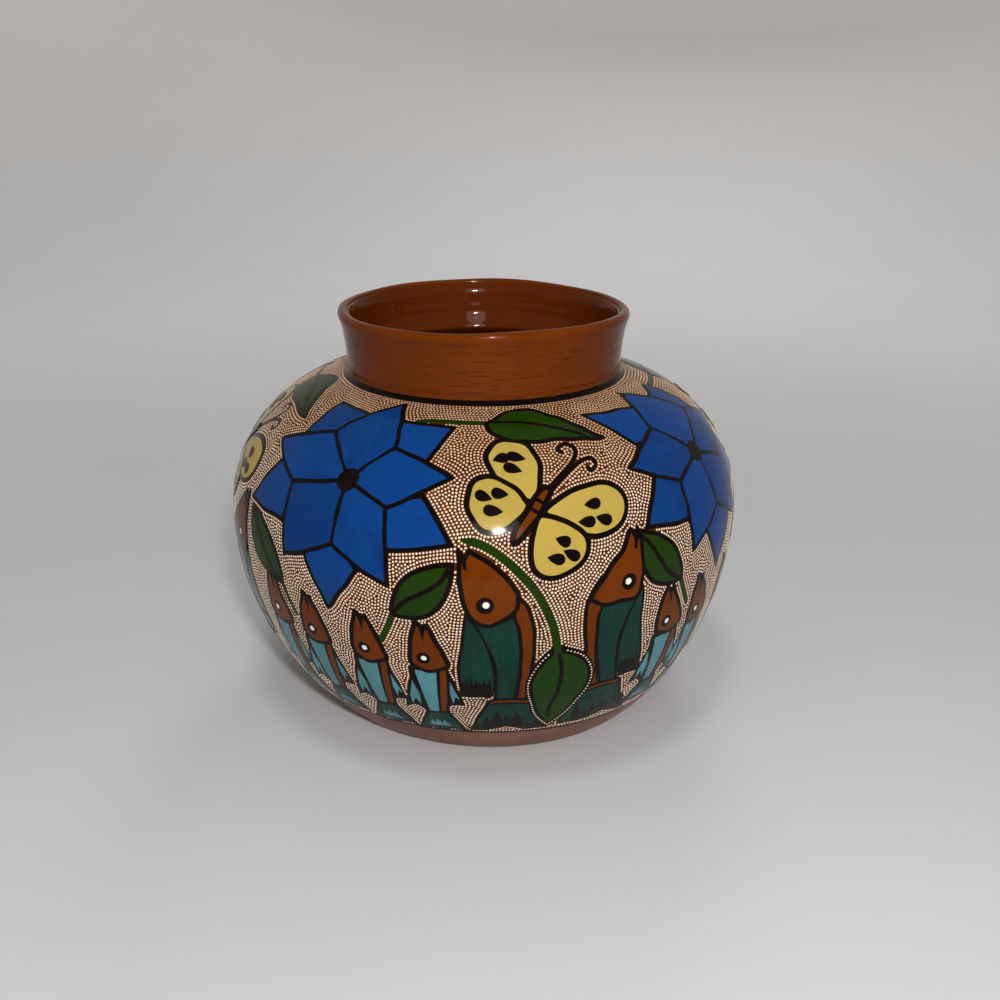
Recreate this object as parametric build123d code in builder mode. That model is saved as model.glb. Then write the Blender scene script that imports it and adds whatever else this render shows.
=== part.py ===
# Round-bellied clay jar with a short flared neck, standing on a flat base.
# It is luted together from the pieces that the potter makes by hand: two half shells pressed in moulds
# and joined upright, a base disc, a collar for the neck, a roll for the lip, and the strips and coils
# of clay that are smeared over the joints.
# Millimetres, +Z up, origin at the centre of the base on the table. The camera side is -Y.

import os
from math import acos, asin, cos, degrees, radians, sin, sqrt

from build123d import *

# Body
body_diameter = 180.0  # widest part of the belly
belly_height = 70.0  # height of the widest part above the table
base_diameter = 118.5  # where the wall would meet the table
shoulder_rise = 47.5  # from the widest part up to the foot of the neck
body_wall = 5.0
foot_round = 2.0  # rubbed outer edge of the base

# Base disc
base_thickness = 6.5
toe = 5.0  # reach of the wall's foot, in to the edge of the disc

# Neck
neck_diameter = 95.6  # outside, at the foot of the neck
rim_flare = 2.8  # how far the rim leans out past the foot of the neck
collar_rise = 22.5  # from the foot of the neck up to the top of the lip
neck_wall = 4.2
seat_depth = 1.5  # how deep the collar is let into the shoulder

# Lip
lip_height = 6.0
lip_tongue = 2.0  # inner edge of the collar, standing up behind the lip
lip_round = 1.6

# Clay over the joints
seam_width = 14.0  # strip inside each upright joint, measured round the belly
seam_thickness = 1.5
seam_end = 4.0  # from the top of the strip to the mouth's edge
base_coil_lap = 4.0  # reach of the coil over the disc, past the joint
base_coil_rise = 8.0
neck_coil_leg = 3.5  # reach of the coil along the shoulder and up the neck
neck_coil_slip = 0.1  # film of slip between that coil and the neck
coil_fill = 0.8  # how full a coil's hollow face is: 1 is straight across

# Heights and radii that follow
belly_radius = body_diameter / 2
base_radius = base_diameter / 2
neck_radius = neck_diameter / 2
opening_radius = neck_radius - neck_wall
neck_foot = belly_height + shoulder_rise
seat_height = neck_foot - seat_depth
rim_height = neck_foot + collar_rise
lip_foot = rim_height - lip_height


def arc_radius(rise, run):
    """Radius of an arc that starts upright and leans over by run while it climbs by rise."""
    return (rise**2 + run**2) / (2 * run)


flank_radius = arc_radius(belly_height, belly_radius - base_radius)
shoulder_radius = arc_radius(shoulder_rise, belly_radius - neck_radius)
flare_radius = arc_radius(collar_rise, rim_flare)
flank_centre = belly_radius - flank_radius
shoulder_centre = belly_radius - shoulder_radius
flare_centre = neck_radius + flare_radius
floor_radius = flank_centre + sqrt((flank_radius - body_wall) ** 2 - (belly_height - base_thickness) ** 2)
disc_radius = floor_radius - toe


def upright_plane(angle):
    """Plane through the axis, turned from +X by an angle in degrees, with its own Y along +Z."""
    turn = radians(angle)
    return Plane(origin=(0, 0, 0), x_dir=(cos(turn), sin(turn), 0), z_dir=(sin(turn), -cos(turn), 0))


def wall_line(depth, foot_height, top_radius):
    """Line of the body wall at a depth in from its outer face, from a height up to a radius."""
    flank = flank_radius - depth
    shoulder = shoulder_radius - depth
    foot_angle = degrees(asin((belly_height - foot_height) / flank))
    top_angle = degrees(acos((top_radius - shoulder_centre) / shoulder))
    low = CenterArc((flank_centre, belly_height), flank, -foot_angle, foot_angle)
    high = CenterArc((shoulder_centre, belly_height), shoulder, 0, top_angle)
    return low @ 0, high @ 1


def neck_line(depth, low_height, high_height):
    """Line of the neck at a depth in from its outer face, between two heights."""
    radius = flare_radius + depth
    low_angle = degrees(asin((low_height - neck_foot) / radius))
    high_angle = degrees(asin((high_height - neck_foot) / radius))
    arc = CenterArc((flare_centre, neck_foot), radius, 180 - low_angle, low_angle - high_angle)
    return arc @ 0, arc @ 1


def coil_face(start, corner, end):
    """Hollow outer face of a coil that is smeared into a corner."""
    middle = (start + end) / 2
    ThreePointArc(start, corner + (middle - corner) * coil_fill, end)


# Half shells, joined on the plane Y = 0, each with a toe for the disc and a seat for the collar
halves = []
for name, start_angle in (("back_half", 0), ("front_half", 180)):
    with BuildPart() as half:
        with BuildSketch(upright_plane(start_angle)) as section:
            with BuildLine():
                outer_foot, outer_top = wall_line(0, 0, neck_radius)
                inner_foot, inner_top = wall_line(body_wall, base_thickness, opening_radius)
                Polyline(outer_top, (neck_radius, seat_height), (opening_radius, seat_height), inner_top)
                Polyline(inner_foot, (disc_radius, base_thickness), (disc_radius, 0), outer_foot)
            make_face()
            foot_corner = section.vertices().group_by(Axis.Y)[0].sort_by(Axis.X)[-1]
            fillet(foot_corner, min(foot_round, base_thickness / 2))
        revolve(axis=Axis.Z, revolution_arc=180)
    half.part.label = name
    halves.append(half.part)

# Base disc, let in between the toes of the two halves
with BuildPart() as base_disc:
    with BuildSketch():
        Circle(disc_radius)
    extrude(amount=base_thickness)
base_disc.part.label = "base_disc"

# Coil pressed into the corner between the disc and the wall
coil_top = base_thickness + base_coil_rise
with BuildPart() as base_joint_coil:
    with BuildSketch(upright_plane(0)):
        with BuildLine():
            radius = flank_radius - body_wall
            low_angle = degrees(asin((belly_height - base_thickness) / radius))
            high_angle = degrees(asin((belly_height - coil_top) / radius))
            wall = CenterArc((flank_centre, belly_height), radius, -low_angle, low_angle - high_angle)
            floor = Line(wall @ 0, (disc_radius - base_coil_lap, base_thickness))
            coil_face(floor @ 1, wall @ 0, wall @ 1)
        make_face()
    revolve(axis=Axis.Z)
base_joint_coil.part.label = "base_joint_coil"

# Strips smeared over the upright joints, inside
seam_angle = degrees(seam_width / (belly_radius - body_wall))
seam_strips = []
for name, middle_angle in (("right_seam_strip", 0), ("left_seam_strip", 180)):
    with BuildPart() as seam_strip:
        with BuildSketch(upright_plane(middle_angle - seam_angle / 2)):
            with BuildLine():
                top_radius = opening_radius + seam_end
                outer_foot, outer_top = wall_line(body_wall, coil_top, top_radius)
                inner_foot, inner_top = wall_line(body_wall + seam_thickness, coil_top, top_radius)
                Line(outer_foot, inner_foot)
                Line(outer_top, inner_top)
            make_face()
        revolve(axis=Axis.Z, revolution_arc=seam_angle)
    seam_strip.part.label = name
    seam_strips.append(seam_strip.part)

# Neck collar, let into the shoulder, with a tongue inside the lip
split_radius = flare_centre - sqrt((flare_radius + neck_wall / 2) ** 2 - (lip_foot - neck_foot) ** 2)
tongue_top = lip_foot + lip_tongue
with BuildPart() as neck_collar:
    with BuildSketch(upright_plane(0)):
        with BuildLine():
            outer_foot, outer_top = neck_line(0, neck_foot, lip_foot)
            inner_foot, inner_top = neck_line(neck_wall, neck_foot, tongue_top)
            Polyline(outer_top, (split_radius, lip_foot), (split_radius, tongue_top), inner_top)
            Polyline(outer_foot, (neck_radius, seat_height), (opening_radius, seat_height), inner_foot)
        make_face()
    revolve(axis=Axis.Z)
neck_collar.part.label = "neck_collar"

# Coil smoothed into the corner at the foot of the neck, outside
neck_coil_top = neck_foot + neck_coil_leg
coil_inside = flare_centre - sqrt(flare_radius**2 - neck_coil_leg**2) + neck_coil_slip
coil_outside = coil_inside + neck_coil_leg
with BuildPart() as neck_joint_coil:
    with BuildSketch(upright_plane(0)):
        with BuildLine():
            low_angle = degrees(acos((coil_outside - shoulder_centre) / shoulder_radius))
            high_angle = degrees(acos((coil_inside - shoulder_centre) / shoulder_radius))
            shoulder = CenterArc(
                (shoulder_centre, belly_height), shoulder_radius, low_angle, high_angle - low_angle
            )
            upright = Line(shoulder @ 1, (coil_inside, neck_coil_top))
            coil_face(shoulder @ 0, shoulder @ 1, upright @ 1)
        make_face()
    revolve(axis=Axis.Z)
neck_joint_coil.part.label = "neck_joint_coil"

# Lip, a roll of clay laid over the tongue and drawn smooth
with BuildPart() as rim_lip:
    with BuildSketch(upright_plane(0)) as section:
        with BuildLine():
            outer_foot, outer_top = neck_line(0, lip_foot, rim_height)
            inner_foot, inner_top = neck_line(neck_wall, tongue_top, rim_height)
            Line(outer_top, inner_top)
            Polyline(outer_foot, (split_radius, lip_foot), (split_radius, tongue_top), inner_foot)
        make_face()
        fillet(section.vertices().group_by(Axis.Y)[-1], min(lip_round, 0.45 * neck_wall))
    revolve(axis=Axis.Z)
rim_lip.part.label = "rim_lip"

os.makedirs("parts", exist_ok=True)
single_pieces = [base_disc, base_joint_coil, neck_collar, neck_joint_coil, rim_lip]
for piece in halves + seam_strips + [single.part for single in single_pieces]:
    export_step(piece, f"parts/{piece.label}.step")

print(f"height {rim_height:.1f}, belly {body_diameter:.1f}, rim {neck_diameter + 2 * rim_flare:.1f}")
print(f"flank {flank_radius:.1f}, shoulder {shoulder_radius:.1f}, flare {flare_radius:.1f}")
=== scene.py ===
# Round clay olla with a plain glazed neck and a painted belly, its ground filled with slip dots.
import math
from collections import namedtuple

import bmesh
import bpy
import numpy as np
from bpy.props import FloatProperty, FloatVectorProperty, IntProperty, PointerProperty
from bpy.types import Operator, Panel, PropertyGroup
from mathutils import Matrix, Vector
from mathutils.geometry import delaunay_2d_cdt
from mathutils.kdtree import KDTree


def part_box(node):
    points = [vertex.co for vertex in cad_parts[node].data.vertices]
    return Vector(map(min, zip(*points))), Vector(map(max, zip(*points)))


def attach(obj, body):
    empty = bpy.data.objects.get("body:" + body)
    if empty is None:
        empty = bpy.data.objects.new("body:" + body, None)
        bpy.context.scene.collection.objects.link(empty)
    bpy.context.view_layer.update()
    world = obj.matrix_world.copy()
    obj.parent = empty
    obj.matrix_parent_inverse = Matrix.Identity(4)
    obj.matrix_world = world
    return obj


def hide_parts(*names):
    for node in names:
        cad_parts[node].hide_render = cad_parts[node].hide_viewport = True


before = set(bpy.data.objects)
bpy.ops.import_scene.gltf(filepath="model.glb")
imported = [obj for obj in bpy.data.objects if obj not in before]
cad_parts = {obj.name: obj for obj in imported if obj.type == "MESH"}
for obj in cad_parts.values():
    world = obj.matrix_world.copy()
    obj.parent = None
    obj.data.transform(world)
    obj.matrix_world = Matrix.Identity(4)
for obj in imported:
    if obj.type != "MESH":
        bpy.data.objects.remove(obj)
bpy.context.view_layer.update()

bl_info = {
    "name": "Painted olla",
    "version": (1, 0, 0),
    "blender": (4, 5, 0),
    "location": "View3D > Sidebar > Olla",
    "description": "Builds a hand-painted round clay jar over its CAD frame",
    "category": "Add Mesh",
}

MM = 0.001
FRONT_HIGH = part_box("front_half")[1]
COLLAR_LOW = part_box("neck_collar")[0]
LIP_LOW, LIP_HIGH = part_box("rim_lip")
DISC_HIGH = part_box("base_disc")[1]
COIL_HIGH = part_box("base_joint_coil")[1]
STRIP_LOW, STRIP_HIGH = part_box("right_seam_strip")

# Height and reach, in mm, of the dark cove between neck and shoulder.
NECK_LINE = 1.3
# The thick throat inside the neck, in mm: its depth, its height over the seat, and its spread.
THROAT_DEPTH, THROAT_RISE, THROAT_SPREAD = 1.5, 5.8, 4.4
# How high over the seat, in mm, the inner glaze is painted dark: a painted shadow under the throat.
THROAT_SHADE_RISE = 7.4
# Height and feathered ends, in mm, of the strips over the seams inside.
STRIP_SWELL, STRIP_TAPER = 1.5, 5.0
# Steps round the axis of the neck's pieces, of half a wall or the coil inside, and of the base disc.
NECK_STEPS, WALL_STEPS, DISC_STEPS = 384, 256, 192
# Angles in degrees past which an edge is shaded sharp: turned clay, the strips inside and films of paint.
TURNED_CREASE, STRIP_CREASE, FILM_CREASE = 38.0, 60.0, 50.0
# Points nearer than this, in m, are made one.
MERGE = 1e-6


# Settings


def length(name, description, millimetres):
    """A length setting, given in mm and kept in metres."""
    return FloatProperty(
        name=name, description=description, default=millimetres * MM, unit="LENGTH", precision=5
    )


def colour(name, description, red, green, blue):
    """A colour setting, given as a colour picker's 0 to 255 and kept linear."""
    linear = []
    for value in (red / 255, green / 255, blue / 255):
        linear.append(value / 12.92 if value <= 0.04045 else ((value + 0.055) / 1.055) ** 2.4)
    return FloatVectorProperty(
        name=name, description=description, default=linear, subtype="COLOR", min=0.0, max=1.0
    )


def setting(name, description, default, unit="NONE"):
    """A number setting."""
    return FloatProperty(name=name, description=description, default=default, unit=unit)


class OllaShape(PropertyGroup):
    """Sizes of the clay."""

    belly_width: length("Belly width", "Widest diameter of the body", 2 * FRONT_HIGH.x / MM)
    belly_height: length("Belly height", "Height of the widest point", 70.0)
    base_width: length("Base width", "Diameter of the foot", 118.5)
    wall: length("Body wall", "Thickness of the body", 5.0)
    neck_foot: length("Neck foot", "Height where the neck starts", FRONT_HIGH.z / MM)
    neck_width: length("Neck width", "Outer diameter at the foot of the neck", 95.6)
    neck_wall: length("Neck wall", "Thickness of the neck", 4.2)
    rim_flare: length("Rim flare", "How far the neck opens towards the rim", 2.8)
    rim_height: length("Rim height", "Height of the rim", LIP_HIGH.z / MM)
    lip_height: length("Lip height", "Height of the lip's band", (LIP_HIGH.z - LIP_LOW.z) / MM)
    lean: length("Lean", "How far the foot sits to one side of the belly", 1.8)
    uneven: length("Unevenness", "Slow dents left by the hand", 0.42)
    rim_wave: length("Rim wave", "Rise and fall of the rim", 0.45)


class OllaPaint(PropertyGroup):
    """Sizes and colours of the paint and the glaze."""

    line: length("Line", "Width of the dark outlines", 1.4)
    fine_line: length("Fine line", "Width of the thin outlines and ribs", 1.1)
    film: length("Film", "Thickness of one coat of paint", 0.035)
    shake: length("Hand shake", "Wander of a painted outline", 0.16)
    band: length("Bare band", "Height of the unpainted foot", 13.6)
    dot_pitch: length("Dot pitch", "Distance between neighbouring dots", 1.04)
    dot_width: length("Dot width", "Width of one dot", 0.8)
    dot_height: length("Dot height", "Height of one dot", 0.09)
    seed: IntProperty(name="Seed", description="Start of the hand's small errors", default=7)
    ground: colour("Ground", "Brown slip under the dots", 82, 35, 10)
    dots: colour("Dots", "Cream slip of the dots", 242, 221, 194)
    # Darker, more amber colour that the dots turn to towards the top of the shoulder.
    shoulder: colour("Shoulder dots", "Cream slip under the shoulder's thicker glaze", 212, 180, 144)
    ink: colour("Ink", "Outlines", 10, 5, 3)
    blue: colour("Blue", "Petals", 8, 58, 124)
    green: colour("Green", "Leaves and stems", 27, 54, 5)
    yellow: colour("Yellow", "Wings", 174, 150, 71)
    brown: colour("Brown", "Fish and butterfly bodies", 102, 46, 1)
    deep_teal: colour("Deep teal", "Big fish", 18, 60, 51)
    pale_teal: colour("Pale teal", "Small fish", 84, 136, 147)
    white: colour("White", "Lights of the eyes", 236, 232, 222)
    neck: colour("Neck", "Glaze of the neck and lip", 104, 46, 4)
    inside: colour("Inside", "Glaze of the inside", 88, 36, 4)
    bare: colour("Bare clay", "Clay of the foot", 135, 96, 83)


class OllaStage(PropertyGroup):
    """Camera, floor and light."""

    camera_distance: length("Camera distance", "From the jar's axis", 391.9)
    camera_height: length("Camera height", "Above the floor", 215.1)
    camera_tilt: setting("Camera tilt", "Angle of the view below level", math.radians(20.63), "ROTATION")
    camera_lens: setting("Lens", "Focal length on a 36 mm sensor, in mm", 40.99)
    camera_shift: setting("Shift", "Sideways shift of the frame, in widths", 0.0168)
    floor: colour("Floor", "Pale paper floor", 201, 203, 208)
    backdrop: colour("Backdrop", "Paper as it sweeps up behind", 246, 241, 235)
    key: setting("Key", "Power of the overhead lamp, in W", 3.6)
    front: setting("Front", "Power of the front lamp, in W", 2.0)
    soft: setting("Soft", "Power of the wide lamp behind the front lamp, in W", 0.52)
    back: setting("Back", "Power of the soft lamp behind the jar, in W", 4.2)
    fill: setting("Fill", "Strength of the room's light", 0.3)
    glow: setting("Glow", "How far the backdrop looks paler than it is lit", 0.12)


# The turned form


class Form:
    """The outline in mm: flank and shoulder arcs that meet at the belly, and a flared neck."""

    def __init__(self, shape):
        self.belly = shape.belly_width / MM / 2
        self.belly_height = shape.belly_height / MM
        self.base = shape.base_width / MM / 2
        self.wall = shape.wall / MM
        self.neck_foot = shape.neck_foot / MM
        self.neck = shape.neck_width / MM / 2
        self.neck_wall = shape.neck_wall / MM
        self.rim = shape.rim_height / MM
        self.lip_foot = self.rim - shape.lip_height / MM
        self.lean = shape.lean / MM
        self.uneven = shape.uneven / MM
        self.rim_wave = shape.rim_wave / MM
        self.seat = COLLAR_LOW.z / MM
        self.floor = DISC_HIGH.z / MM
        self.disc = DISC_HIGH.x / MM
        inset = self.belly - self.base
        self.flank = (self.belly_height**2 + inset**2) / (2 * inset)
        self.foot_angle = math.asin(self.belly_height / self.flank)
        self.belly_run = self.flank * self.foot_angle
        inset = self.belly - self.neck
        rise = self.neck_foot - self.belly_height
        self.shoulder = (rise**2 + inset**2) / (2 * inset)
        self.neck_run = self.belly_run + self.shoulder * math.asin(rise / self.shoulder)
        flare = shape.rim_flare / MM
        rise = self.rim - self.neck_foot
        self.flare = (rise**2 + flare**2) / (2 * flare)

    def ring(self, climb, sink=0.0):
        """Radius, height and outward direction at a climb up the outer wall, sunk towards the inside."""
        climb = np.asarray(climb, float)
        low = climb < self.belly_run
        arc = np.where(low, self.flank, self.shoulder)
        below = climb / self.flank - self.foot_angle
        above = (climb - self.belly_run) / self.shoulder
        turn = np.where(low, below, above)
        radius = self.belly - arc + (arc - sink) * np.cos(turn)
        height = self.belly_height + (arc - sink) * np.sin(turn)
        return radius, height, np.cos(turn), np.sin(turn)

    def climb_at(self, height):
        """Climb at which the outer wall reaches a height."""
        rise = height - self.belly_height
        if rise < 0:
            return self.flank * (self.foot_angle + math.asin(rise / self.flank))
        return self.belly_run + self.shoulder * math.asin(rise / self.shoulder)

    def neck_at(self, height):
        """Outer radius of the neck at a height."""
        rise = np.maximum(np.asarray(height, float) - self.neck_foot, 0.0)
        return self.neck + self.flare - np.sqrt(self.flare**2 - rise**2)

    def lean_at(self, height):
        """How far the clay sits to one side at a height."""
        return self.lean * np.clip(1 - height / self.belly_height, 0, 1) ** 2

    def by_hand(self, points):
        """Moves true turned points, in mm, to where the maker's hand left them."""
        x, y, z = np.asarray(points, float).T
        angle = np.arctan2(x, -y)
        slow = (
            np.sin(2 * angle + 0.7)
            + 0.7 * np.sin(3 * angle + z / 31 - 0.7)
            + 0.4 * np.sin(5 * angle - z / 17)
        )
        swell = 1 + self.uneven * slow / self.belly
        high = np.clip((z - self.neck_foot) / (self.rim - self.neck_foot), 0, 1)
        wave = np.sin(2 * angle + 0.9) + 0.5 * np.sin(3 * angle - 0.4) + 0.3 * np.sin(7 * angle)
        lift = self.rim_wave * wave * high
        return np.column_stack((x * swell + self.lean_at(z), y * swell, z + lift))

    def true_points(self, angle, climb):
        """Points of the wall, in mm, before the hand moved them."""
        radius, height, _, _ = self.ring(climb)
        return np.column_stack((radius * np.sin(angle), -radius * np.cos(angle), height))

    def on_wall(self, angle, climb, lift=0.0):
        """Points, in metres, at angles and climbs on the wall, with the wall's facing there."""
        radius, height, out, up = self.ring(climb)
        sin, cos = np.sin(angle), np.cos(angle)
        reach = radius + lift * out
        points = np.column_stack((reach * sin, -reach * cos, height + lift * up))
        facing = np.column_stack((out * sin, -out * cos, up))
        return self.by_hand(points) * MM, facing


def rounded_corner(start, corner, end, steps=5):
    """Points from start to end that round off the corner between them."""
    t = np.linspace(0, 1, steps + 1)[:, None]
    start, corner, end = np.array(start), np.array(corner), np.array(end)
    return (1 - t) ** 2 * start + 2 * t * (1 - t) * corner + t**2 * end


def wall_outline(form):
    """Closed outline of the body wall, from the toe round the outside and back down the inside."""
    foot = form.ring(2.4)[:2]
    climbs = np.arange(3.4, form.neck_run, 1.35)
    outer = np.column_stack(form.ring(climbs)[:2])
    opening = form.neck - form.neck_wall
    top = math.acos((opening - form.belly + form.shoulder) / (form.shoulder - form.wall))
    low = math.asin((form.floor - form.belly_height) / (form.flank - form.wall)) + form.foot_angle
    inner_climbs = np.concatenate((
        np.linspace(form.belly_run + form.shoulder * top, form.belly_run, 24),
        np.linspace(form.belly_run - 2.5, form.flank * low, 30),
    ))
    inner = np.column_stack(form.ring(inner_climbs, form.wall)[:2])
    return np.vstack((
        [(form.disc, 0.0)],
        rounded_corner((form.base - 2.2, 0.0), (form.base + 0.1, 0.0), foot),
        outer,
        [(form.neck, form.neck_foot), (form.neck, form.seat), (opening, form.seat)],
        inner,
        [(form.disc, form.floor)],
    ))


def collar_outline(form):
    """Closed outline of the neck's wall, with faint rings from wiping and a thick throat inside."""
    heights = np.linspace(form.seat, form.lip_foot + 0.2, 38)
    rings = 0.025 * np.sin(heights * 2.03) + 0.02 * np.sin(heights * 3.7 + 1.0)
    outer = np.column_stack((form.neck_at(heights) + rings, heights))
    inner_heights = np.linspace(form.lip_foot + 0.2, form.seat - 2.9, 40)
    rings = 0.03 * np.sin(inner_heights * 1.7)
    throat = THROAT_DEPTH * np.exp(-(((inner_heights - form.seat - THROAT_RISE) / THROAT_SPREAD) ** 2))
    inside = form.neck_at(inner_heights) - form.neck_wall - rings - throat
    inner = np.column_stack((inside, inner_heights))
    return np.vstack((outer, inner))


def lip_outline(form):
    """Closed outline of the lip: a band a little proud of the neck, soft on top and crisp inside."""
    foot = form.lip_foot
    rim = form.rim
    mid = foot + 0.5 * (rim - foot)
    outer_foot = float(form.neck_at(foot))
    outer_mid = float(form.neck_at(mid))
    outer_top = float(form.neck_at(rim - 1.4))
    inner_top = float(form.neck_at(rim)) - form.neck_wall + 0.9
    inner_foot = outer_foot - form.neck_wall
    crown = 0.5 * (outer_top + inner_top)
    rise = np.linspace(0.78, 0.0, 8)
    flare = np.column_stack((
        inner_foot + (inner_top - inner_foot) * rise**1.8,
        foot + rise * (rim - foot),
    ))
    lower_edge = rounded_corner(
        (outer_foot - 0.3, foot), (outer_foot + 0.14, foot - 0.1), (outer_foot + 0.16, foot + 0.6)
    )
    band = [(outer_mid + 0.3, mid), (outer_top + 0.26, rim - 1.9)]
    upper_edge = rounded_corner((outer_top + 0.12, rim - 1.5), (outer_top + 0.1, rim - 0.1), (crown, rim))
    inner_edge = rounded_corner(
        (inner_top + 0.9, rim - 0.1), (inner_top, rim - 0.2), (inner_top - 0.05, rim - 1.1)
    )
    return np.vstack((lower_edge, band, upper_edge, inner_edge, flare))


def neck_coil_outline(form):
    """Closed outline of the small cove of clay in the corner between neck and shoulder."""
    out = form.neck + NECK_LINE
    top = form.neck_foot + NECK_LINE
    shoulder = form.belly_height + math.sqrt(form.shoulder**2 - (out - form.belly + form.shoulder) ** 2)
    tip = (float(form.neck_at(top)) + 0.02, top)
    inner = form.neck - 0.4
    return np.vstack((
        rounded_corner((out, shoulder + 0.02), (form.neck + 0.45, form.neck_foot + 0.4), tip, 7),
        [(inner, top), (inner, form.neck_foot - 1.0), (out, shoulder - 0.8)],
    ))


def disc_outline(form):
    """Closed outline of the base disc, its underside worn a little hollow."""
    edge = form.disc
    return np.vstack((
        [(0.0, 0.5), (edge * 0.3, 0.42), (edge * 0.6, 0.25), (edge * 0.85, 0.05)],
        rounded_corner((edge - 1.0, 0.0), (edge - 0.1, 0.0), (edge - 0.05, 0.8)),
        [(edge, form.floor - 0.5), (edge - 0.5, form.floor), (edge * 0.5, form.floor + 0.15)],
        [(0.0, form.floor + 0.1)],
    ))


def foot_coil_outline(form):
    """Closed outline of the clay coil smoothed into the corner between floor and wall."""
    top = COIL_HIGH.z / MM
    climbs = np.linspace(form.climb_at(top) + 3.0, form.climb_at(form.floor) + 2.0, 8)
    wall = np.column_stack(form.ring(climbs, form.wall - 0.3)[:2])
    head = np.column_stack(form.ring(climbs[:1], form.wall)[:2])[0]
    toe = (form.disc + 0.4, form.floor + 0.05)
    corner = (head[0] - 4.2, form.floor + 1.6)
    return np.vstack((wall, [(form.disc + 0.6, form.floor - 0.3)], rounded_corner(toe, corner, head, 9)))


# Node trees


class Bench:
    """Adds nodes to a tree and wires them, taking sockets or plain values."""

    def __init__(self, tree):
        self.tree = tree

    def wire(self, target, value):
        """Links a socket to an input, or sets a plain value there."""
        if isinstance(value, bpy.types.NodeSocket):
            self.tree.links.new(value, target)
        else:
            target.default_value = value

    def put(self, kind, values=None, **settings):
        """A new node with its settings, and its inputs wired."""
        node = self.tree.nodes.new(kind)
        for name, value in settings.items():
            setattr(node, name, value)
        for key, value in (values or {}).items():
            self.wire(node.inputs[key], value)
        return node

    def place(self):
        return self.put("ShaderNodeTexCoord").outputs["Object"]

    def third(self, vector):
        """The third part of a vector, such as the height of a place."""
        return self.put("ShaderNodeSeparateXYZ", {0: vector}).outputs[2]

    def sum(self, operation, first, second=0.0):
        """A number worked out from one or two."""
        return self.put("ShaderNodeMath", {0: first, 1: second}, operation=operation).outputs[0]

    def vector(self, operation, values):
        return self.put("ShaderNodeVectorMath", values, operation=operation).outputs[0]

    def mix(self, share, first, second):
        node = self.put("ShaderNodeMix", {0: share, 6: first, 7: second}, data_type="RGBA")
        return node.outputs[2]

    def span(self, value, low, high, new_low=0.0, new_high=1.0):
        """A value's way from low to high, eased to run from new_low to new_high."""
        values = {
            "Value": value, "From Min": low, "From Max": high, "To Min": new_low, "To Max": new_high,
        }
        return self.put("ShaderNodeMapRange", values, interpolation_type="SMOOTHSTEP").outputs[0]

    def noise(self, place, scale, detail=2.0, rough=0.5):
        values = {"Vector": place, "Scale": scale, "Detail": detail, "Roughness": rough}
        return self.put("ShaderNodeTexNoise", values).outputs["Fac"]

    def stretch(self, place, scale):
        """A place with each axis scaled by its own number."""
        return self.put("ShaderNodeMapping", {"Vector": place, "Scale": scale}).outputs[0]


SOCKETS = {
    "geometry": "NodeSocketGeometry",
    "material": "NodeSocketMaterial",
    "number": "NodeSocketFloat",
    "count": "NodeSocketInt",
    "switch": "NodeSocketBool",
    "colour": "NodeSocketColor",
}


def new_tree(name, kind, takes, gives):
    """A node group with named inputs and outputs, its bench and its two end nodes."""
    tree = bpy.data.node_groups.new(name, kind)
    for label, socket in takes:
        tree.interface.new_socket(name=label, in_out="INPUT", socket_type=SOCKETS[socket])
    for label, socket in gives:
        tree.interface.new_socket(name=label, in_out="OUTPUT", socket_type=SOCKETS[socket])
    given = tree.nodes.new("NodeGroupInput").outputs
    result = tree.nodes.new("NodeGroupOutput").inputs
    return tree, Bench(tree), given, result


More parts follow.
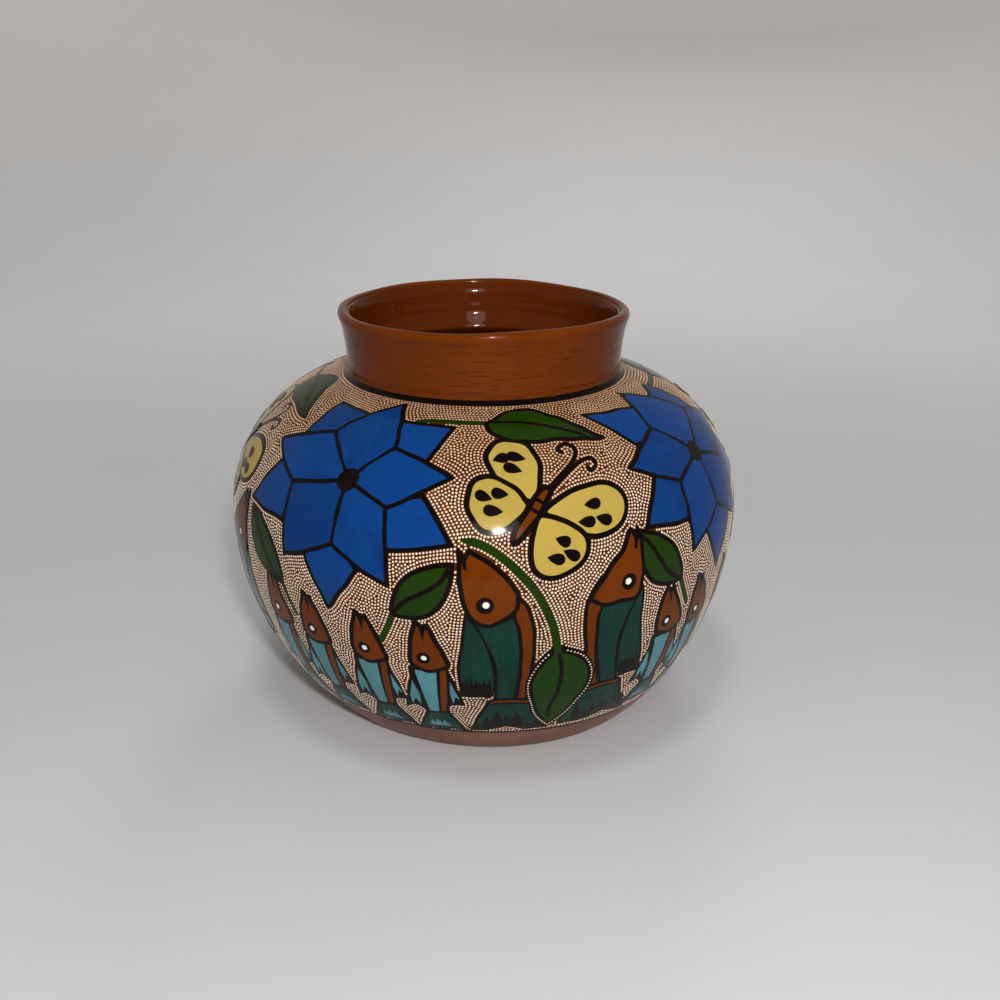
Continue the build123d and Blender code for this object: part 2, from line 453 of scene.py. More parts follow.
def turned_clay():
    """Node tree that turns a closed outline round the upright axis, with end caps for a part turn."""
    name = "turned clay"
    if name in bpy.data.node_groups:
        return bpy.data.node_groups[name]
    takes = (
        ("Outline", "geometry"), ("Start", "number"), ("Sweep", "number"), ("Segments", "count"),
        ("Capped", "switch"), ("Finish", "material"),
    )
    tree, bench, given, result = new_tree(name, "GeometryNodeTree", takes, (("Clay", "geometry"),))
    size = bench.put("GeometryNodeAttributeDomainSize", {"Geometry": given["Outline"]}, component="MESH")
    count = size.outputs["Point Count"]
    row = bench.sum("ADD", count, 1.0)
    columns = bench.sum("ADD", given["Segments"], 1.0)
    grid = bench.put("GeometryNodeMeshGrid", {"Vertices X": columns, "Vertices Y": row}).outputs["Mesh"]
    index = bench.put("GeometryNodeInputIndex").outputs[0]
    column = bench.sum("FLOOR", bench.sum("DIVIDE", bench.sum("ADD", index, 0.5), row))
    place = bench.sum("SUBTRACT", index, bench.sum("MULTIPLY", column, row))
    lap = bench.sum("FLOOR", bench.sum("DIVIDE", bench.sum("ADD", place, 0.5), count))
    place = bench.sum("SUBTRACT", place, bench.sum("MULTIPLY", lap, count))
    position = bench.put("GeometryNodeInputPosition").outputs[0]
    sample = bench.put(
        "GeometryNodeSampleIndex",
        {"Geometry": given["Outline"], "Value": position, "Index": place},
        data_type="FLOAT_VECTOR",
    )
    step = bench.sum("DIVIDE", given["Sweep"], given["Segments"])
    angle = bench.sum("ADD", given["Start"], bench.sum("MULTIPLY", column, step))

    def swung(flat, turn):
        """Swings a point of the outline, radius in X and height in Y, to its angle round the axis."""
        axes = bench.put("ShaderNodeSeparateXYZ", {0: flat}).outputs
        right = bench.sum("MULTIPLY", axes[0], bench.sum("SINE", turn))
        back = bench.sum("MULTIPLY", axes[0], bench.sum("MULTIPLY", bench.sum("COSINE", turn), -1.0))
        return bench.put("ShaderNodeCombineXYZ", {0: right, 1: back, 2: axes[1]}).outputs[0]

    turned_grid = {"Geometry": grid, "Position": swung(sample.outputs[0], angle)}
    wall = bench.put("GeometryNodeSetPosition", turned_grid)
    curve = bench.put("GeometryNodeMeshToCurve", {"Mesh": given["Outline"]}).outputs[0]
    face = bench.put("GeometryNodeFillCurve", {"Curve": curve}).outputs[0]
    ends = []
    for turn in (given["Start"], bench.sum("ADD", given["Start"], given["Sweep"])):
        cap = bench.put("GeometryNodeSetPosition", {"Geometry": face, "Position": swung(position, turn)})
        ends.append(cap.outputs[0])
    caps = bench.put("GeometryNodeJoinGeometry")
    for end in ends:
        tree.links.new(end, caps.inputs[0])
    chosen = bench.put(
        "GeometryNodeSwitch", {"Switch": given["Capped"], "True": caps.outputs[0]}, input_type="GEOMETRY"
    )
    whole = bench.put("GeometryNodeJoinGeometry")
    tree.links.new(wall.outputs[0], whole.inputs[0])
    tree.links.new(chosen.outputs[0], whole.inputs[0])
    seams = {"Geometry": whole.outputs[0], "Distance": MERGE}
    merged = bench.put("GeometryNodeMergeByDistance", seams).outputs[0]
    plain = bench.put("GeometryNodeRealizeInstances", {"Geometry": merged}).outputs[0]
    coat = {"Geometry": plain, "Material": given["Finish"]}
    dressed = bench.put("GeometryNodeSetMaterial", coat).outputs[0]
    tree.links.new(dressed, result["Clay"])
    return tree


def slip_dots():
    """Node tree that sets a small low dome of slip on every point, facing out of the wall."""
    name = "slip dots"
    if name in bpy.data.node_groups:
        return bpy.data.node_groups[name]
    takes = (
        ("Points", "geometry"), ("Sides", "count"), ("Height", "number"), ("Sink", "number"),
        ("Finish", "material"),
    )
    tree, bench, given, result = new_tree(name, "GeometryNodeTree", takes, (("Dots", "geometry"),))
    cone = bench.put(
        "GeometryNodeMeshCone",
        {
            "Vertices": given["Sides"],
            "Side Segments": 2,
            "Radius Top": 0.0,
            "Radius Bottom": 1.0,
            "Depth": 1.0,
        },
    ).outputs["Mesh"]
    position = bench.put("GeometryNodeInputPosition").outputs[0]
    axes = bench.put("ShaderNodeSeparateXYZ", {0: position}).outputs
    flat = bench.put("ShaderNodeCombineXYZ", {0: axes[0], 1: axes[1]}).outputs[0]
    out = bench.vector("NORMALIZE", {0: flat})
    turn = bench.sum("MULTIPLY", axes[2], math.pi / 2)
    ring = bench.vector("SCALE", {0: out, "Scale": bench.sum("COSINE", turn)})
    rise = bench.sum("MULTIPLY", bench.sum("SINE", turn), given["Height"])
    lift = bench.put("ShaderNodeCombineXYZ", {2: bench.sum("SUBTRACT", rise, given["Sink"])}).outputs[0]
    domed = bench.vector("ADD", {0: ring, 1: lift})
    dome = bench.put("GeometryNodeSetPosition", {"Geometry": cone, "Position": domed}).outputs[0]

    def stored(label, kind):
        return bench.put("GeometryNodeInputNamedAttribute", {"Name": label}, data_type=kind).outputs[0]

    facing = bench.put(
        "FunctionNodeAlignRotationToVector", {"Vector": stored("facing", "FLOAT_VECTOR")}, axis="Z"
    )
    spread = bench.put(
        "GeometryNodeInstanceOnPoints",
        {
            "Points": given["Points"],
            "Instance": dome,
            "Rotation": facing.outputs[0],
            "Scale": stored("size", "FLOAT_VECTOR"),
        },
    ).outputs[0]
    plain = bench.put("GeometryNodeRealizeInstances", {"Geometry": spread}).outputs[0]
    smooth = bench.put("GeometryNodeSetShadeSmooth", {"Geometry": plain}).outputs[0]
    coat = {"Geometry": smooth, "Material": given["Finish"]}
    dressed = bench.put("GeometryNodeSetMaterial", coat).outputs[0]
    tree.links.new(dressed, result["Dots"])
    return tree


def grown(piece, tree, **values):
    """Runs a node tree on a piece and keeps the plain mesh that comes out."""
    modifier = piece.modifiers.new(tree.name, "NODES")
    modifier.node_group = tree
    for item in tree.interface.items_tree:
        if item.in_out == "INPUT" and item.name in values:
            modifier[item.identifier] = values[item.name]
    bpy.context.view_layer.update()
    shown = piece.evaluated_get(bpy.context.evaluated_depsgraph_get())
    mesh = bpy.data.meshes.new_from_object(shown)
    piece.modifiers.remove(modifier)
    seed_mesh = piece.data
    piece.data = mesh
    bpy.data.meshes.remove(seed_mesh)
    mesh.name = piece.name
    mesh.materials.clear()
    mesh.materials.append(values["Finish"])
    mesh.polygons.foreach_set("material_index", np.zeros(len(mesh.polygons), np.int32))
    return piece


# Finishes


def ripple_group():
    """Shader group: the small waves and pinholes of a dipped glaze."""
    name = "glaze ripple"
    if name in bpy.data.node_groups:
        return bpy.data.node_groups[name]
    takes = (("Waves", "number"), ("Pits", "number"))
    gives = (("Height", "number"), ("Dullness", "number"))
    tree, bench, given, result = new_tree(name, "ShaderNodeTree", takes, gives)
    place = bench.place()
    slow = bench.noise(place, 55.0, 2.0)
    fine = bench.noise(place, 420.0, 3.0)
    cells = bench.put("ShaderNodeTexVoronoi", {"Vector": place, "Scale": 240.0}).outputs["Distance"]
    pits = bench.sum("MULTIPLY", bench.span(cells, 0.02, 0.13, 1.0, 0.0), given["Pits"])
    both = bench.sum("ADD", slow, bench.sum("MULTIPLY", fine, 0.25))
    waves = bench.sum("MULTIPLY", both, given["Waves"])
    tree.links.new(bench.sum("SUBTRACT", waves, pits), result["Height"])
    tree.links.new(bench.sum("ADD", bench.span(slow, 0.3, 0.7), pits), result["Dullness"])
    return tree


def brush_group():
    """Shader group: paint laid by brush, thin between the hairs and thick where strokes overlap."""
    name = "brush strokes"
    if name in bpy.data.node_groups:
        return bpy.data.node_groups[name]
    takes = (("Thick", "colour"), ("Thin", "colour"), ("Streaks", "number"))
    gives = (("Colour", "colour"), ("Height", "number"))
    tree, bench, given, result = new_tree(name, "ShaderNodeTree", takes, gives)
    place = bench.put("ShaderNodeAttribute", attribute_name="brush").outputs["Vector"]
    hairs = bench.noise(bench.stretch(place, (0.10, 1.5, 1.0)), 1.0, 4.0, 0.6)
    strokes = bench.noise(bench.stretch(place, (0.05, 0.28, 1.0)), 1.0, 1.0)
    pool = bench.noise(place, 0.12, 2.0)
    streaks = bench.sum("ADD", bench.sum("MULTIPLY", hairs, 0.45), bench.sum("MULTIPLY", strokes, 0.35))
    streaks = bench.sum("ADD", streaks, bench.sum("MULTIPLY", pool, 0.3))
    number = bench.third(place)
    load = bench.put("ShaderNodeTexWhiteNoise", {"W": number}, noise_dimensions="1D").outputs["Value"]
    streaks = bench.sum("ADD", streaks, bench.span(load, 0.0, 1.0, -0.12, 0.12))
    thin = bench.sum("MULTIPLY", bench.span(streaks, 0.42, 0.72), given["Streaks"])
    tree.links.new(bench.mix(thin, given["Thick"], given["Thin"]), result["Colour"])
    tree.links.new(streaks, result["Height"])
    return tree


def mottle_group():
    """Shader group: clay and slip that fired a little darker in clouds and specks."""
    name = "clay mottle"
    if name in bpy.data.node_groups:
        return bpy.data.node_groups[name]
    takes = (("Clay", "colour"), ("Dark", "colour"), ("Pale", "colour"), ("Clouds", "number"))
    gives = (("Colour", "colour"), ("Height", "number"))
    tree, bench, given, result = new_tree(name, "ShaderNodeTree", takes, gives)
    place = bench.place()
    clouds = bench.noise(place, given["Clouds"], 4.0, 0.6)
    specks = bench.noise(place, 900.0, 2.0)
    colour_now = bench.mix(bench.span(clouds, 0.35, 0.68), given["Dark"], given["Clay"])
    colour_now = bench.mix(bench.span(specks, 0.62, 0.74), colour_now, given["Pale"])
    tree.links.new(colour_now, result["Colour"])
    tree.links.new(bench.sum("ADD", specks, clouds), result["Height"])
    return tree


def tint(base, light):
    """A darker or lighter version of a colour setting, with alpha."""
    return tuple(min(1.0, part * light) for part in base) + (1.0,)


class Finish:
    """One material: its bench, its Principled shader and the glaze on top."""

    def __init__(self, name):
        self.material = bpy.data.materials.new(name)
        self.material.use_nodes = True
        tree = self.material.node_tree
        self.bench = Bench(tree)
        self.shader = tree.nodes["Principled BSDF"]

    def group(self, tree, **values):
        """The outputs of a shader group placed in the material."""
        return self.bench.put("ShaderNodeGroup", values, node_tree=tree).outputs

    def mottled(self, base, dark, pale, clouds):
        """Clay or slip of a colour setting, with darker clouds and paler specks."""
        clay, shade, speck = tint(base, 1.0), tint(base, dark), tint(base, pale)
        return self.group(mottle_group(), Clay=clay, Dark=shade, Pale=speck, Clouds=clouds)

    def feed(self, **sockets):
        """Wires the shader's own inputs, named with _ for a space."""
        for name, value in sockets.items():
            self.bench.wire(self.shader.inputs[name.replace("_", " ")], value)

    def bump(self, height, strength, depth):
        """Fine relief, with its depth in m."""
        values = {"Height": height, "Strength": strength, "Distance": depth}
        self.feed(Normal=self.bench.put("ShaderNodeBump", values).outputs[0])

    def glaze(self, weight, roughness):
        """The clear glaze on top."""
        self.feed(
            Coat_Weight=weight, Coat_Roughness=roughness, Coat_IOR=GLAZE_IOR, Specular_IOR_Level=0.0
        )


# How strongly the clear glaze mirrors, and how soft its mirror is over paint.
GLAZE_IOR, PAINT_GLOSS = 1.18, 0.09
# Heights in m over which the dots turn darker and more amber towards the top of the shoulder.
SHOULDER = (0.092, 0.112)
# Depth in m of the relief in paint, and in glaze over clay.
PAINT_RELIEF, CLAY_RELIEF = 0.0001, 0.00012


def paint_finish(name, thick, thin, streaks, roughness=0.5, coat=1.0, amber=None):
    """Brushed colour under a clear glaze; amber is the darker colour that it turns to towards the top of
    the shoulder.
    """
    if name in bpy.data.materials:
        return bpy.data.materials[name]
    finish = Finish(name)
    brush = finish.group(brush_group(), Thick=thick, Thin=thin, Streaks=streaks)
    ripple = finish.group(ripple_group(), Waves=1.0, Pits=0.35)
    bench = finish.bench
    dull = bench.span(ripple["Dullness"], 0.0, 1.4, roughness - 0.08, roughness + 0.12)
    height = bench.sum("ADD", bench.sum("MULTIPLY", brush["Height"], 0.6), ripple["Height"])
    shade = brush["Colour"]
    # Darker and more amber towards the top of the shoulder.
    if amber:
        up = bench.third(bench.place())
        shade = bench.mix(bench.span(up, *SHOULDER), shade, amber)
    finish.feed(Base_Color=shade, Roughness=dull)
    finish.bump(height, 0.35, PAINT_RELIEF)
    finish.glaze(coat, PAINT_GLOSS)
    return finish.material


def ground_finish(paint):
    """Brown slip under the dots, and below it the bare burnished foot."""
    name = "brown slip ground"
    if name in bpy.data.materials:
        return bpy.data.materials[name]
    finish = Finish(name)
    bench = finish.bench
    slip = finish.mottled(paint.ground, 0.7, 1.35, 60.0)
    clay = finish.mottled(paint.bare, 0.72, 1.18, 26.0)
    place = bench.place()
    wipes = bench.noise(bench.stretch(place, (14.0, 14.0, 260.0)), 1.0, 3.0)
    bare = bench.mix(bench.span(wipes, 0.45, 0.75, 0.0, 0.5), clay["Colour"], tint(paint.bare, 0.62))
    height = bench.third(place)
    edge = bench.sum("ADD", height, bench.sum("MULTIPLY", bench.noise(place, 70.0), 0.0012))
    painted = bench.span(edge, paint.band, paint.band + 0.0009)
    finish.feed(Base_Color=bench.mix(painted, bare, slip["Colour"]))
    ripple = finish.group(ripple_group(), Waves=0.7, Pits=0.3)
    satin = bench.span(painted, 0.0, 1.0, 0.5, 0.42)
    finish.feed(Roughness=bench.sum("ADD", satin, bench.sum("MULTIPLY", ripple["Dullness"], 0.06)))
    finish.glaze(bench.span(painted, 0.0, 1.0, 0.4, 1.0), PAINT_GLOSS)
    relief = bench.sum("ADD", ripple["Height"], bench.sum("MULTIPLY", clay["Height"], 0.3))
    finish.bump(relief, 0.4, CLAY_RELIEF)
    return finish.material


def wiped_finish(name, colour_now, streaks, roughness, coat, coat_roughness, pool=None):
    """Glaze over clay that was wiped round with a wet cloth.

    Just below the height pool, in m, it has a dark band: a painted shadow under the throat.
    """
    if name in bpy.data.materials:
        return bpy.data.materials[name]
    finish = Finish(name)
    bench = finish.bench
    place = bench.place()
    mottle = finish.mottled(colour_now, 0.82, 1.1, 34.0)
    drag = bench.noise(bench.stretch(place, (40.0, 40.0, 420.0)), 1.0, 4.0, 0.62)
    turn = {"Vector": place, "Rotation": (0.0, 0.0, math.radians(50.0))}
    round_front = bench.put("ShaderNodeMapping", turn).outputs[0]
    scratch = bench.noise(bench.stretch(round_front, (80.0, 80.0, 2400.0)), 1.0, 3.0)
    rubbed = bench.span(bench.noise(round_front, 21.0, 1.0), 0.44, 0.58)
    lines = bench.sum("MULTIPLY", bench.span(drag, 0.45, 0.8), bench.sum("MULTIPLY", streaks, 0.4))
    wiped = bench.mix(lines, mottle["Colour"], tint(colour_now, 0.6))
    scratched = bench.span(scratch, 0.56, 0.66)
    marks = bench.sum("MULTIPLY", scratched, bench.sum("MULTIPLY", rubbed, streaks))
    glazed = bench.mix(marks, wiped, tint(colour_now, 0.35))
    # Painted shadow: a dark band of glaze just below the throat.
    if pool:
        height = bench.third(place)
        over = bench.span(height, pool - 0.0016, pool, 0.85, 0.0)
        under = bench.span(height, pool - 0.014, pool - 0.008)
        glazed = bench.mix(bench.sum("MULTIPLY", over, under), glazed, tint(colour_now, 0.15))
    finish.feed(Base_Color=glazed)
    ripple = finish.group(ripple_group(), Waves=1.0, Pits=0.4)
    finish.feed(Roughness=bench.span(ripple["Dullness"], 0.0, 1.4, roughness - 0.06, roughness + 0.1))
    relief = bench.sum("SUBTRACT", ripple["Height"], bench.sum("MULTIPLY", marks, 0.8))
    finish.bump(relief, 0.4, CLAY_RELIEF)
    finish.glaze(coat, coat_roughness)
    return finish.material


def inner_glaze(paint, form):
    """The brown glaze that lines the jar, with a painted shadow under the throat."""
    return wiped_finish("inner glaze", paint.inside, 0.15, 0.34, 1.0, 0.05, (form.seat + THROAT_SHADE_RISE) * MM)


def line_ink(paint):
    """The dark paint of the lines round the neck and the foot."""
    return wiped_finish("neck line", paint.ink, 0.5, 0.4, 1.0, 0.12)


def bare_finish(paint):
    """Unglazed fired clay of the underside."""
    name = "bare fired clay"
    if name in bpy.data.materials:
        return bpy.data.materials[name]
    finish = Finish(name)
    clay = finish.mottled(paint.bare, 0.6, 1.25, 30.0)
    dull = finish.bench.span(clay["Height"], 0.6, 1.4, 0.62, 0.85)
    finish.feed(Base_Color=clay["Colour"], Roughness=dull)
    finish.bump(clay["Height"], 0.5, 0.0003)
    return finish.material


# Each paint's colour setting, its finish, the light of its thin strokes and how far its streaks show.
PAINTS = (
    ("ink", "ink line", 2.4, 0.6),
    ("blue", "blue paint", 0.55, 0.6),
    ("green", "green paint", 0.55, 0.6),
    ("yellow", "yellow paint", 0.72, 0.35),
    ("brown", "brown paint", 0.6, 0.5),
    ("deep_teal", "deep teal paint", 0.5, 0.8),
    ("pale_teal", "pale teal paint", 0.7, 0.7),
    ("white", "white paint", 0.8, 0.4),
)


def finishes(paint):
    """The paints by name, each made once."""
    made = {}
    for key, name, thin, streaks in PAINTS:
        base = getattr(paint, key)
        made[key] = paint_finish(name, tint(base, 1.0), tint(base, thin), streaks)
    slip, worn, amber = tint(paint.dots, 1.0), tint(paint.dots, 0.82), tint(paint.shoulder, 1.0)
    made["dots"] = paint_finish("cream slip", slip, worn, 0.5, 0.45, 0.8, amber)
    return made


# Making pieces


def settings_of(context):
    """The paint's settings and the jar's form."""
    return context.scene.olla_paint, Form(context.scene.olla_shape)


def new_piece(name, points, edges=(), faces=()):
    """A linked mesh object at the origin; points are in metres."""
    mesh = bpy.data.meshes.new(name)
    mesh.from_pydata([tuple(map(float, point)) for point in points], edges, faces)
    piece = bpy.data.objects.new(name, mesh)
    bpy.context.scene.collection.objects.link(piece)
    return piece


def settled(piece, slot, *nodes):
    """Rides a finished piece on the jar's root body and hides the CAD parts that it stands for; slot is
    not used.
    """
    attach(piece, "root")
    if nodes:
        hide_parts(*nodes)
    return piece


def bands(ring, rows, width):
    """Faces between rows of points, each row run through in the order of ring."""
    faces = []
    for row in range(rows - 1):
        base, above = row * width, (row + 1) * width
        for first, second in zip(ring, ring[1:] + ring[:1]):
            faces.append((base + first, base + second, above + second, above + first))
    return faces


def smooth(mesh):
    """Shades every face of a mesh smooth."""
    mesh.polygons.foreach_set("use_smooth", [True] * len(mesh.polygons))


def mesh_points(mesh):
    """The points of a mesh, in mm."""
    flat = np.empty(len(mesh.vertices) * 3)
    mesh.vertices.foreach_get("co", flat)
    return flat.reshape(-1, 3) / MM


def store(mesh, label, vectors):
    """Keeps a vector for each point of a mesh, under the name that the node trees read."""
    data = mesh.attributes.new(label, "FLOAT_VECTOR", "POINT")
    data.data.foreach_set("vector", vectors.ravel())


def faired(piece, crease):
    """Points the faces outwards and shades them smooth, with creases kept."""
    work = bmesh.new()
    work.from_mesh(piece.data)
    bmesh.ops.recalc_face_normals(work, faces=work.faces)
    work.to_mesh(piece.data)
    work.free()
    smooth(piece.data)
    piece.data.set_sharp_from_angle(angle=math.radians(crease))
    return piece


def shaped_by_hand(piece, form):
    """Moves a true turned piece to where the maker's hand left it."""
    moved = form.by_hand(mesh_points(piece.data)) * MM
    piece.data.vertices.foreach_set("co", moved.ravel())
    piece.data.update()
    return piece


def turned(name, form, outline, finish, segments=NECK_STEPS, start=0.0, sweep=360.0):
    """A piece of clay turned from its closed outline of radius and height in mm."""
    points = np.column_stack((outline, np.zeros(len(outline)))) * MM
    count = len(points)
    edges = [(index, (index + 1) % count) for index in range(count)]
    piece = grown(
        new_piece(name, points, edges),
        turned_clay(),
        Start=math.radians(start),
        Sweep=math.radians(sweep),
        Segments=segments,
        Capped=sweep < 360.0,
        Finish=finish,
    )
    return faired(shaped_by_hand(piece, form), TURNED_CREASE)


def line_inside(piece, form, inner, middle, top):
    """Gives the inner glaze to faces below top and nearer the axis than middle, a radius by height."""
    mesh = piece.data
    mesh.materials.append(inner)
    centres = np.empty(len(mesh.polygons) * 3)
    mesh.polygons.foreach_get("center", centres)
    x, y, z = centres.reshape(-1, 3).T / MM
    inside = (np.hypot(x - form.lean_at(z), y) < middle(z)) & (z < top)
    mesh.polygons.foreach_set("material_index", inside.astype(np.int32))


# Drawing in the flat, in mm


Patch = namedtuple("Patch", "loop paint layer brush edge")


def flow(points, steps=7, closed=False):
    """A smooth line through points."""
    points = np.asarray(points, float)
    count = len(points)
    if closed:
        padded = np.vstack((points[-1], points, points[0], points[1]))
    else:
        padded = np.vstack((2 * points[0] - points[1], points, 2 * points[-1] - points[-2]))
    spans = count if closed else count - 1
    t = np.linspace(0, 1, steps, endpoint=False)[:, None]
    runs = []
    for index in range(spans):
        before, start, end, after = padded[index:index + 4]
        runs.append(
            start
            + 0.5 * t * (end - before)
            + t**2 * (before - 2.5 * start + 2 * end - 0.5 * after)
            + t**3 * (1.5 * start - 1.5 * end + 0.5 * after - 0.5 * before)
        )
    if not closed:
        runs.append(points[-1:])
    return np.vstack(runs)


def shape(points, corners=()):
    """A closed outline, smooth through the points but for the corners named by index."""
    points = np.asarray(points, float)
    if not corners:
        return flow(points, closed=True)
    runs = []
    for first, last in zip(corners, tuple(corners[1:]) + (corners[0] + len(points),)):
        run = points[[index % len(points) for index in range(first, last + 1)]]
        runs.append(flow(run)[:-1])
    return np.vstack(runs)


def bowed(start, end, sag, steps=12):
    """A side from start to end that bows out to its right by sag, without its last point."""
    start, end = np.asarray(start, float), np.asarray(end, float)
    t = np.linspace(0, 1, steps, endpoint=False)[:, None]
    across = np.array((end[1] - start[1], start[0] - end[0]))
    across = across / np.linalg.norm(across)
    return start + t * (end - start) + 4 * sag * t * (1 - t) * across


def egg(long, wide, steps=40):
    """A rounded wing from its pointed root at the origin along +X, widest towards the far end."""
    t = np.linspace(0, 2 * math.pi, steps, endpoint=False)
    half = wide / 1.64 * np.sin(t) * np.abs(np.sin(t / 2)) ** 0.7
    return np.column_stack((long / 2 * (1 - np.cos(t)), -half))


def drop(long, wide, steps=16):
    """A spot pointed at the origin and round at its far end."""
    t = np.linspace(0, 2 * math.pi, steps, endpoint=False)
    half = 0.65 * wide * np.sin(t) * np.abs(np.sin(t / 2))
    return np.column_stack((long / 2 * (1 - np.cos(t)), -half))


def disc(radius, steps=24):
    """A round spot."""
    t = np.linspace(0, 2 * math.pi, steps, endpoint=False)
    return radius * np.column_stack((np.cos(t), np.sin(t)))


def blade(long, wide, bend):
    """A leaf from its base at the origin along +X, pointed at both ends and bent to one side."""
    t = np.linspace(0, 1, 26)
    back = bend * np.sin(math.pi * t) * (1 - 0.3 * t)
    half = wide / 2 * np.sin(math.pi * t**0.9) ** 0.85
    lower = np.column_stack((long * t, back - half))
    upper = np.column_stack((long * t, back + half))[::-1]
    return np.vstack((lower[:-1], upper[:-1]))


def stroke(points, wide, ends=(0.5, 0.5)):
    """A brush line along points; ends give the width left at each end."""
    line = flow(points)
    ahead = np.gradient(line, axis=0)
    across = np.column_stack((ahead[:, 1], -ahead[:, 0])) / np.linalg.norm(ahead, axis=1)[:, None]
    t = np.linspace(0, 1, len(line))
    swell = np.clip(np.minimum(ends[0] + t * 8, ends[1] + (1 - t) * 8), 0, 1)[:, None] * wide / 2
    return np.vstack((line + across * swell, (line - across * swell)[::-1]))


def placed(loop, right=0.0, up=0.0, turn=0.0):
    """A loop turned about the origin, in degrees, then moved."""
    sin, cos = math.sin(math.radians(turn)), math.cos(math.radians(turn))
    return np.asarray(loop, float) @ np.array(((cos, sin), (-sin, cos))) + (right, up)


def polar(angle, reach):
    """A point at an angle in degrees and a distance from the origin."""
    return np.array((math.cos(math.radians(angle)), math.sin(math.radians(angle)))) * reach


def ccw(loop):
    """The loop, turned to run anticlockwise."""
    x, y = loop.T
    area = np.dot(x, np.roll(y, -1)) - np.dot(y, np.roll(x, -1))
    return loop if area > 0 else loop[::-1]


def evened(loop, step=0.7):
    """The loop with points no further apart than step and no two on the same place."""
    after = np.roll(loop, -1, axis=0)
    gaps = np.linalg.norm(after - loop, axis=1)
    runs = []
    for start, end, gap in zip(loop, after, gaps):
        if gap < 0.05:
            continue
        count = max(1, int(math.ceil(gap / step)))
        runs.append(start + (end - start) * (np.arange(count) / count)[:, None])
    return np.vstack(runs)


def normals(loop):
    """Outward normal and mitre of each point of an anticlockwise loop."""
    ahead = np.roll(loop, -1, axis=0) - loop
    ahead /= np.linalg.norm(ahead, axis=1)[:, None]
    side = np.column_stack((ahead[:, 1], -ahead[:, 0]))
    mean = side + np.roll(side, 1, axis=0)
    size = np.linalg.norm(mean, axis=1)
    mean /= np.maximum(size, 1e-6)[:, None]
    return mean, 1 / np.maximum(size / 2, 0.45)


def offset(loop, distance):
    """The loop grown or, below zero, shrunk by a distance."""
    loop = ccw(evened(loop))
    out, mitre = normals(loop)
    moved = loop + out * (distance * mitre)[:, None]
    gaps = np.sqrt(((moved[:, None, :] - loop[None, :, :]) ** 2).sum(axis=2)).min(axis=1)
    kept = moved[gaps > abs(distance) * 0.93]
    return kept if len(kept) > 5 else moved


def shaken(loop, rng, amount):
    """The loop with the slow wander of a hand-held brush."""
    loop = ccw(evened(loop))
    out, _ = normals(loop)
    run = np.concatenate(([0.0], np.cumsum(np.linalg.norm(np.diff(loop, axis=0), axis=1))))
    whole = run[-1] + np.linalg.norm(loop[0] - loop[-1])
    wander = np.zeros(len(loop))
    for waves in (2, 3, 5, max(7, int(whole / 9))):
        wander += rng.normal() * np.sin(2 * math.pi * waves * run / whole + rng.uniform(0, 6.3))
    return loop + out * (amount * 0.6 * wander)[:, None]


class Hand:
    """The painter's hand: line widths, wander, and the patches laid so far."""

    def __init__(self, paint, rng, sector):
        self.sector = sector
        self.line = paint.line / MM
        self.fine = paint.fine_line / MM
        self.shake = paint.shake / MM
        self.rng = rng
        self.patches = []
        self.strings = []

    def beads(self, loop, layer):
        """A string of dots set on top of a coat of paint."""
        self.strings.append(Patch(ccw(evened(loop)), "dots", layer, 0.0, False))

    def fill(self, loop, colour_name, layer, brush=0.0, edge=False):
        """A patch of plain colour."""
        self.patches.append(Patch(ccw(evened(loop)), colour_name, layer, brush, edge))

    def outlined(self, loop, colour_name, layer, brush=0.0, line=None):
        """A patch of colour with a dark line round it."""
        line = line or self.line
        loop = shaken(loop, self.rng, self.shake)
        self.fill(offset(loop, line / 2), "ink", layer, brush, True)
        self.fill(offset(loop, -line / 2), colour_name, layer + 1, brush)


PETALS = 5
# Two ways to draw a flower: direction in degrees and reach in mm of its petals, of the notches between
# them and of the petals behind.
FLOWERS = (
    (
        ((86, 33), (8, 32), (-56.5, 35), (-127, 35.5), (-188, 37.5)),
        ((51, 17), (-22, 16.5), (-92, 20), (-166, 22.5), (-228, 20)),
        ((44, 33.5), (-22.5, 40.5), (-93.5, 41), (-160, 47), (-232, 33.5)),
    ),
    (
        ((97, 31.5), (8, 35), (-53, 35), (-123, 33.5), (-185, 33)),
        ((37, 21), (-20, 19), (-88, 18.5), (-161, 17.5), (-229, 18)),
        ((64, 31.5), (-22, 41), (-90, 40), (-157, 41), (-222, 38.5)),
    ),
)


def draw_flower(hand):
    """A blue flower of five kite petals with five more behind them."""
    petals, dips, behind = FLOWERS[hand.sector % 2]
    tips = [polar(*petal) for petal in petals]
    notches = [polar(*dip) for dip in dips]
    for index in range(PETALS):
        notch = notches[index]
        left = notch + 0.55 * (tips[index] - notch)
        right = notch + 0.55 * (tips[(index + 1) % PETALS] - notch)
        tip = polar(*behind[index])
        loop = np.vstack((
            bowed(notch * 0.8, right, 0.0, 6),
            bowed(right, tip, 0.3),
            bowed(tip, left, 0.3),
        ))
        hand.outlined(loop, "blue", 2, behind[index][0])
    for index in range(PETALS):
        right, left, tip = notches[index], notches[index - 1], tips[index]
        loop = np.vstack((
            bowed((0, 0), right, 0.0, 6),
            bowed(right, tip, 0.6),
            bowed(tip, left, 0.6),
            bowed(left, (0, 0), 0.0, 6),
        ))
        hand.outlined(loop, "blue", 4, petals[index][0])
    hand.fill(shaken(disc(3.8), hand.rng, hand.shake), "ink", 6)


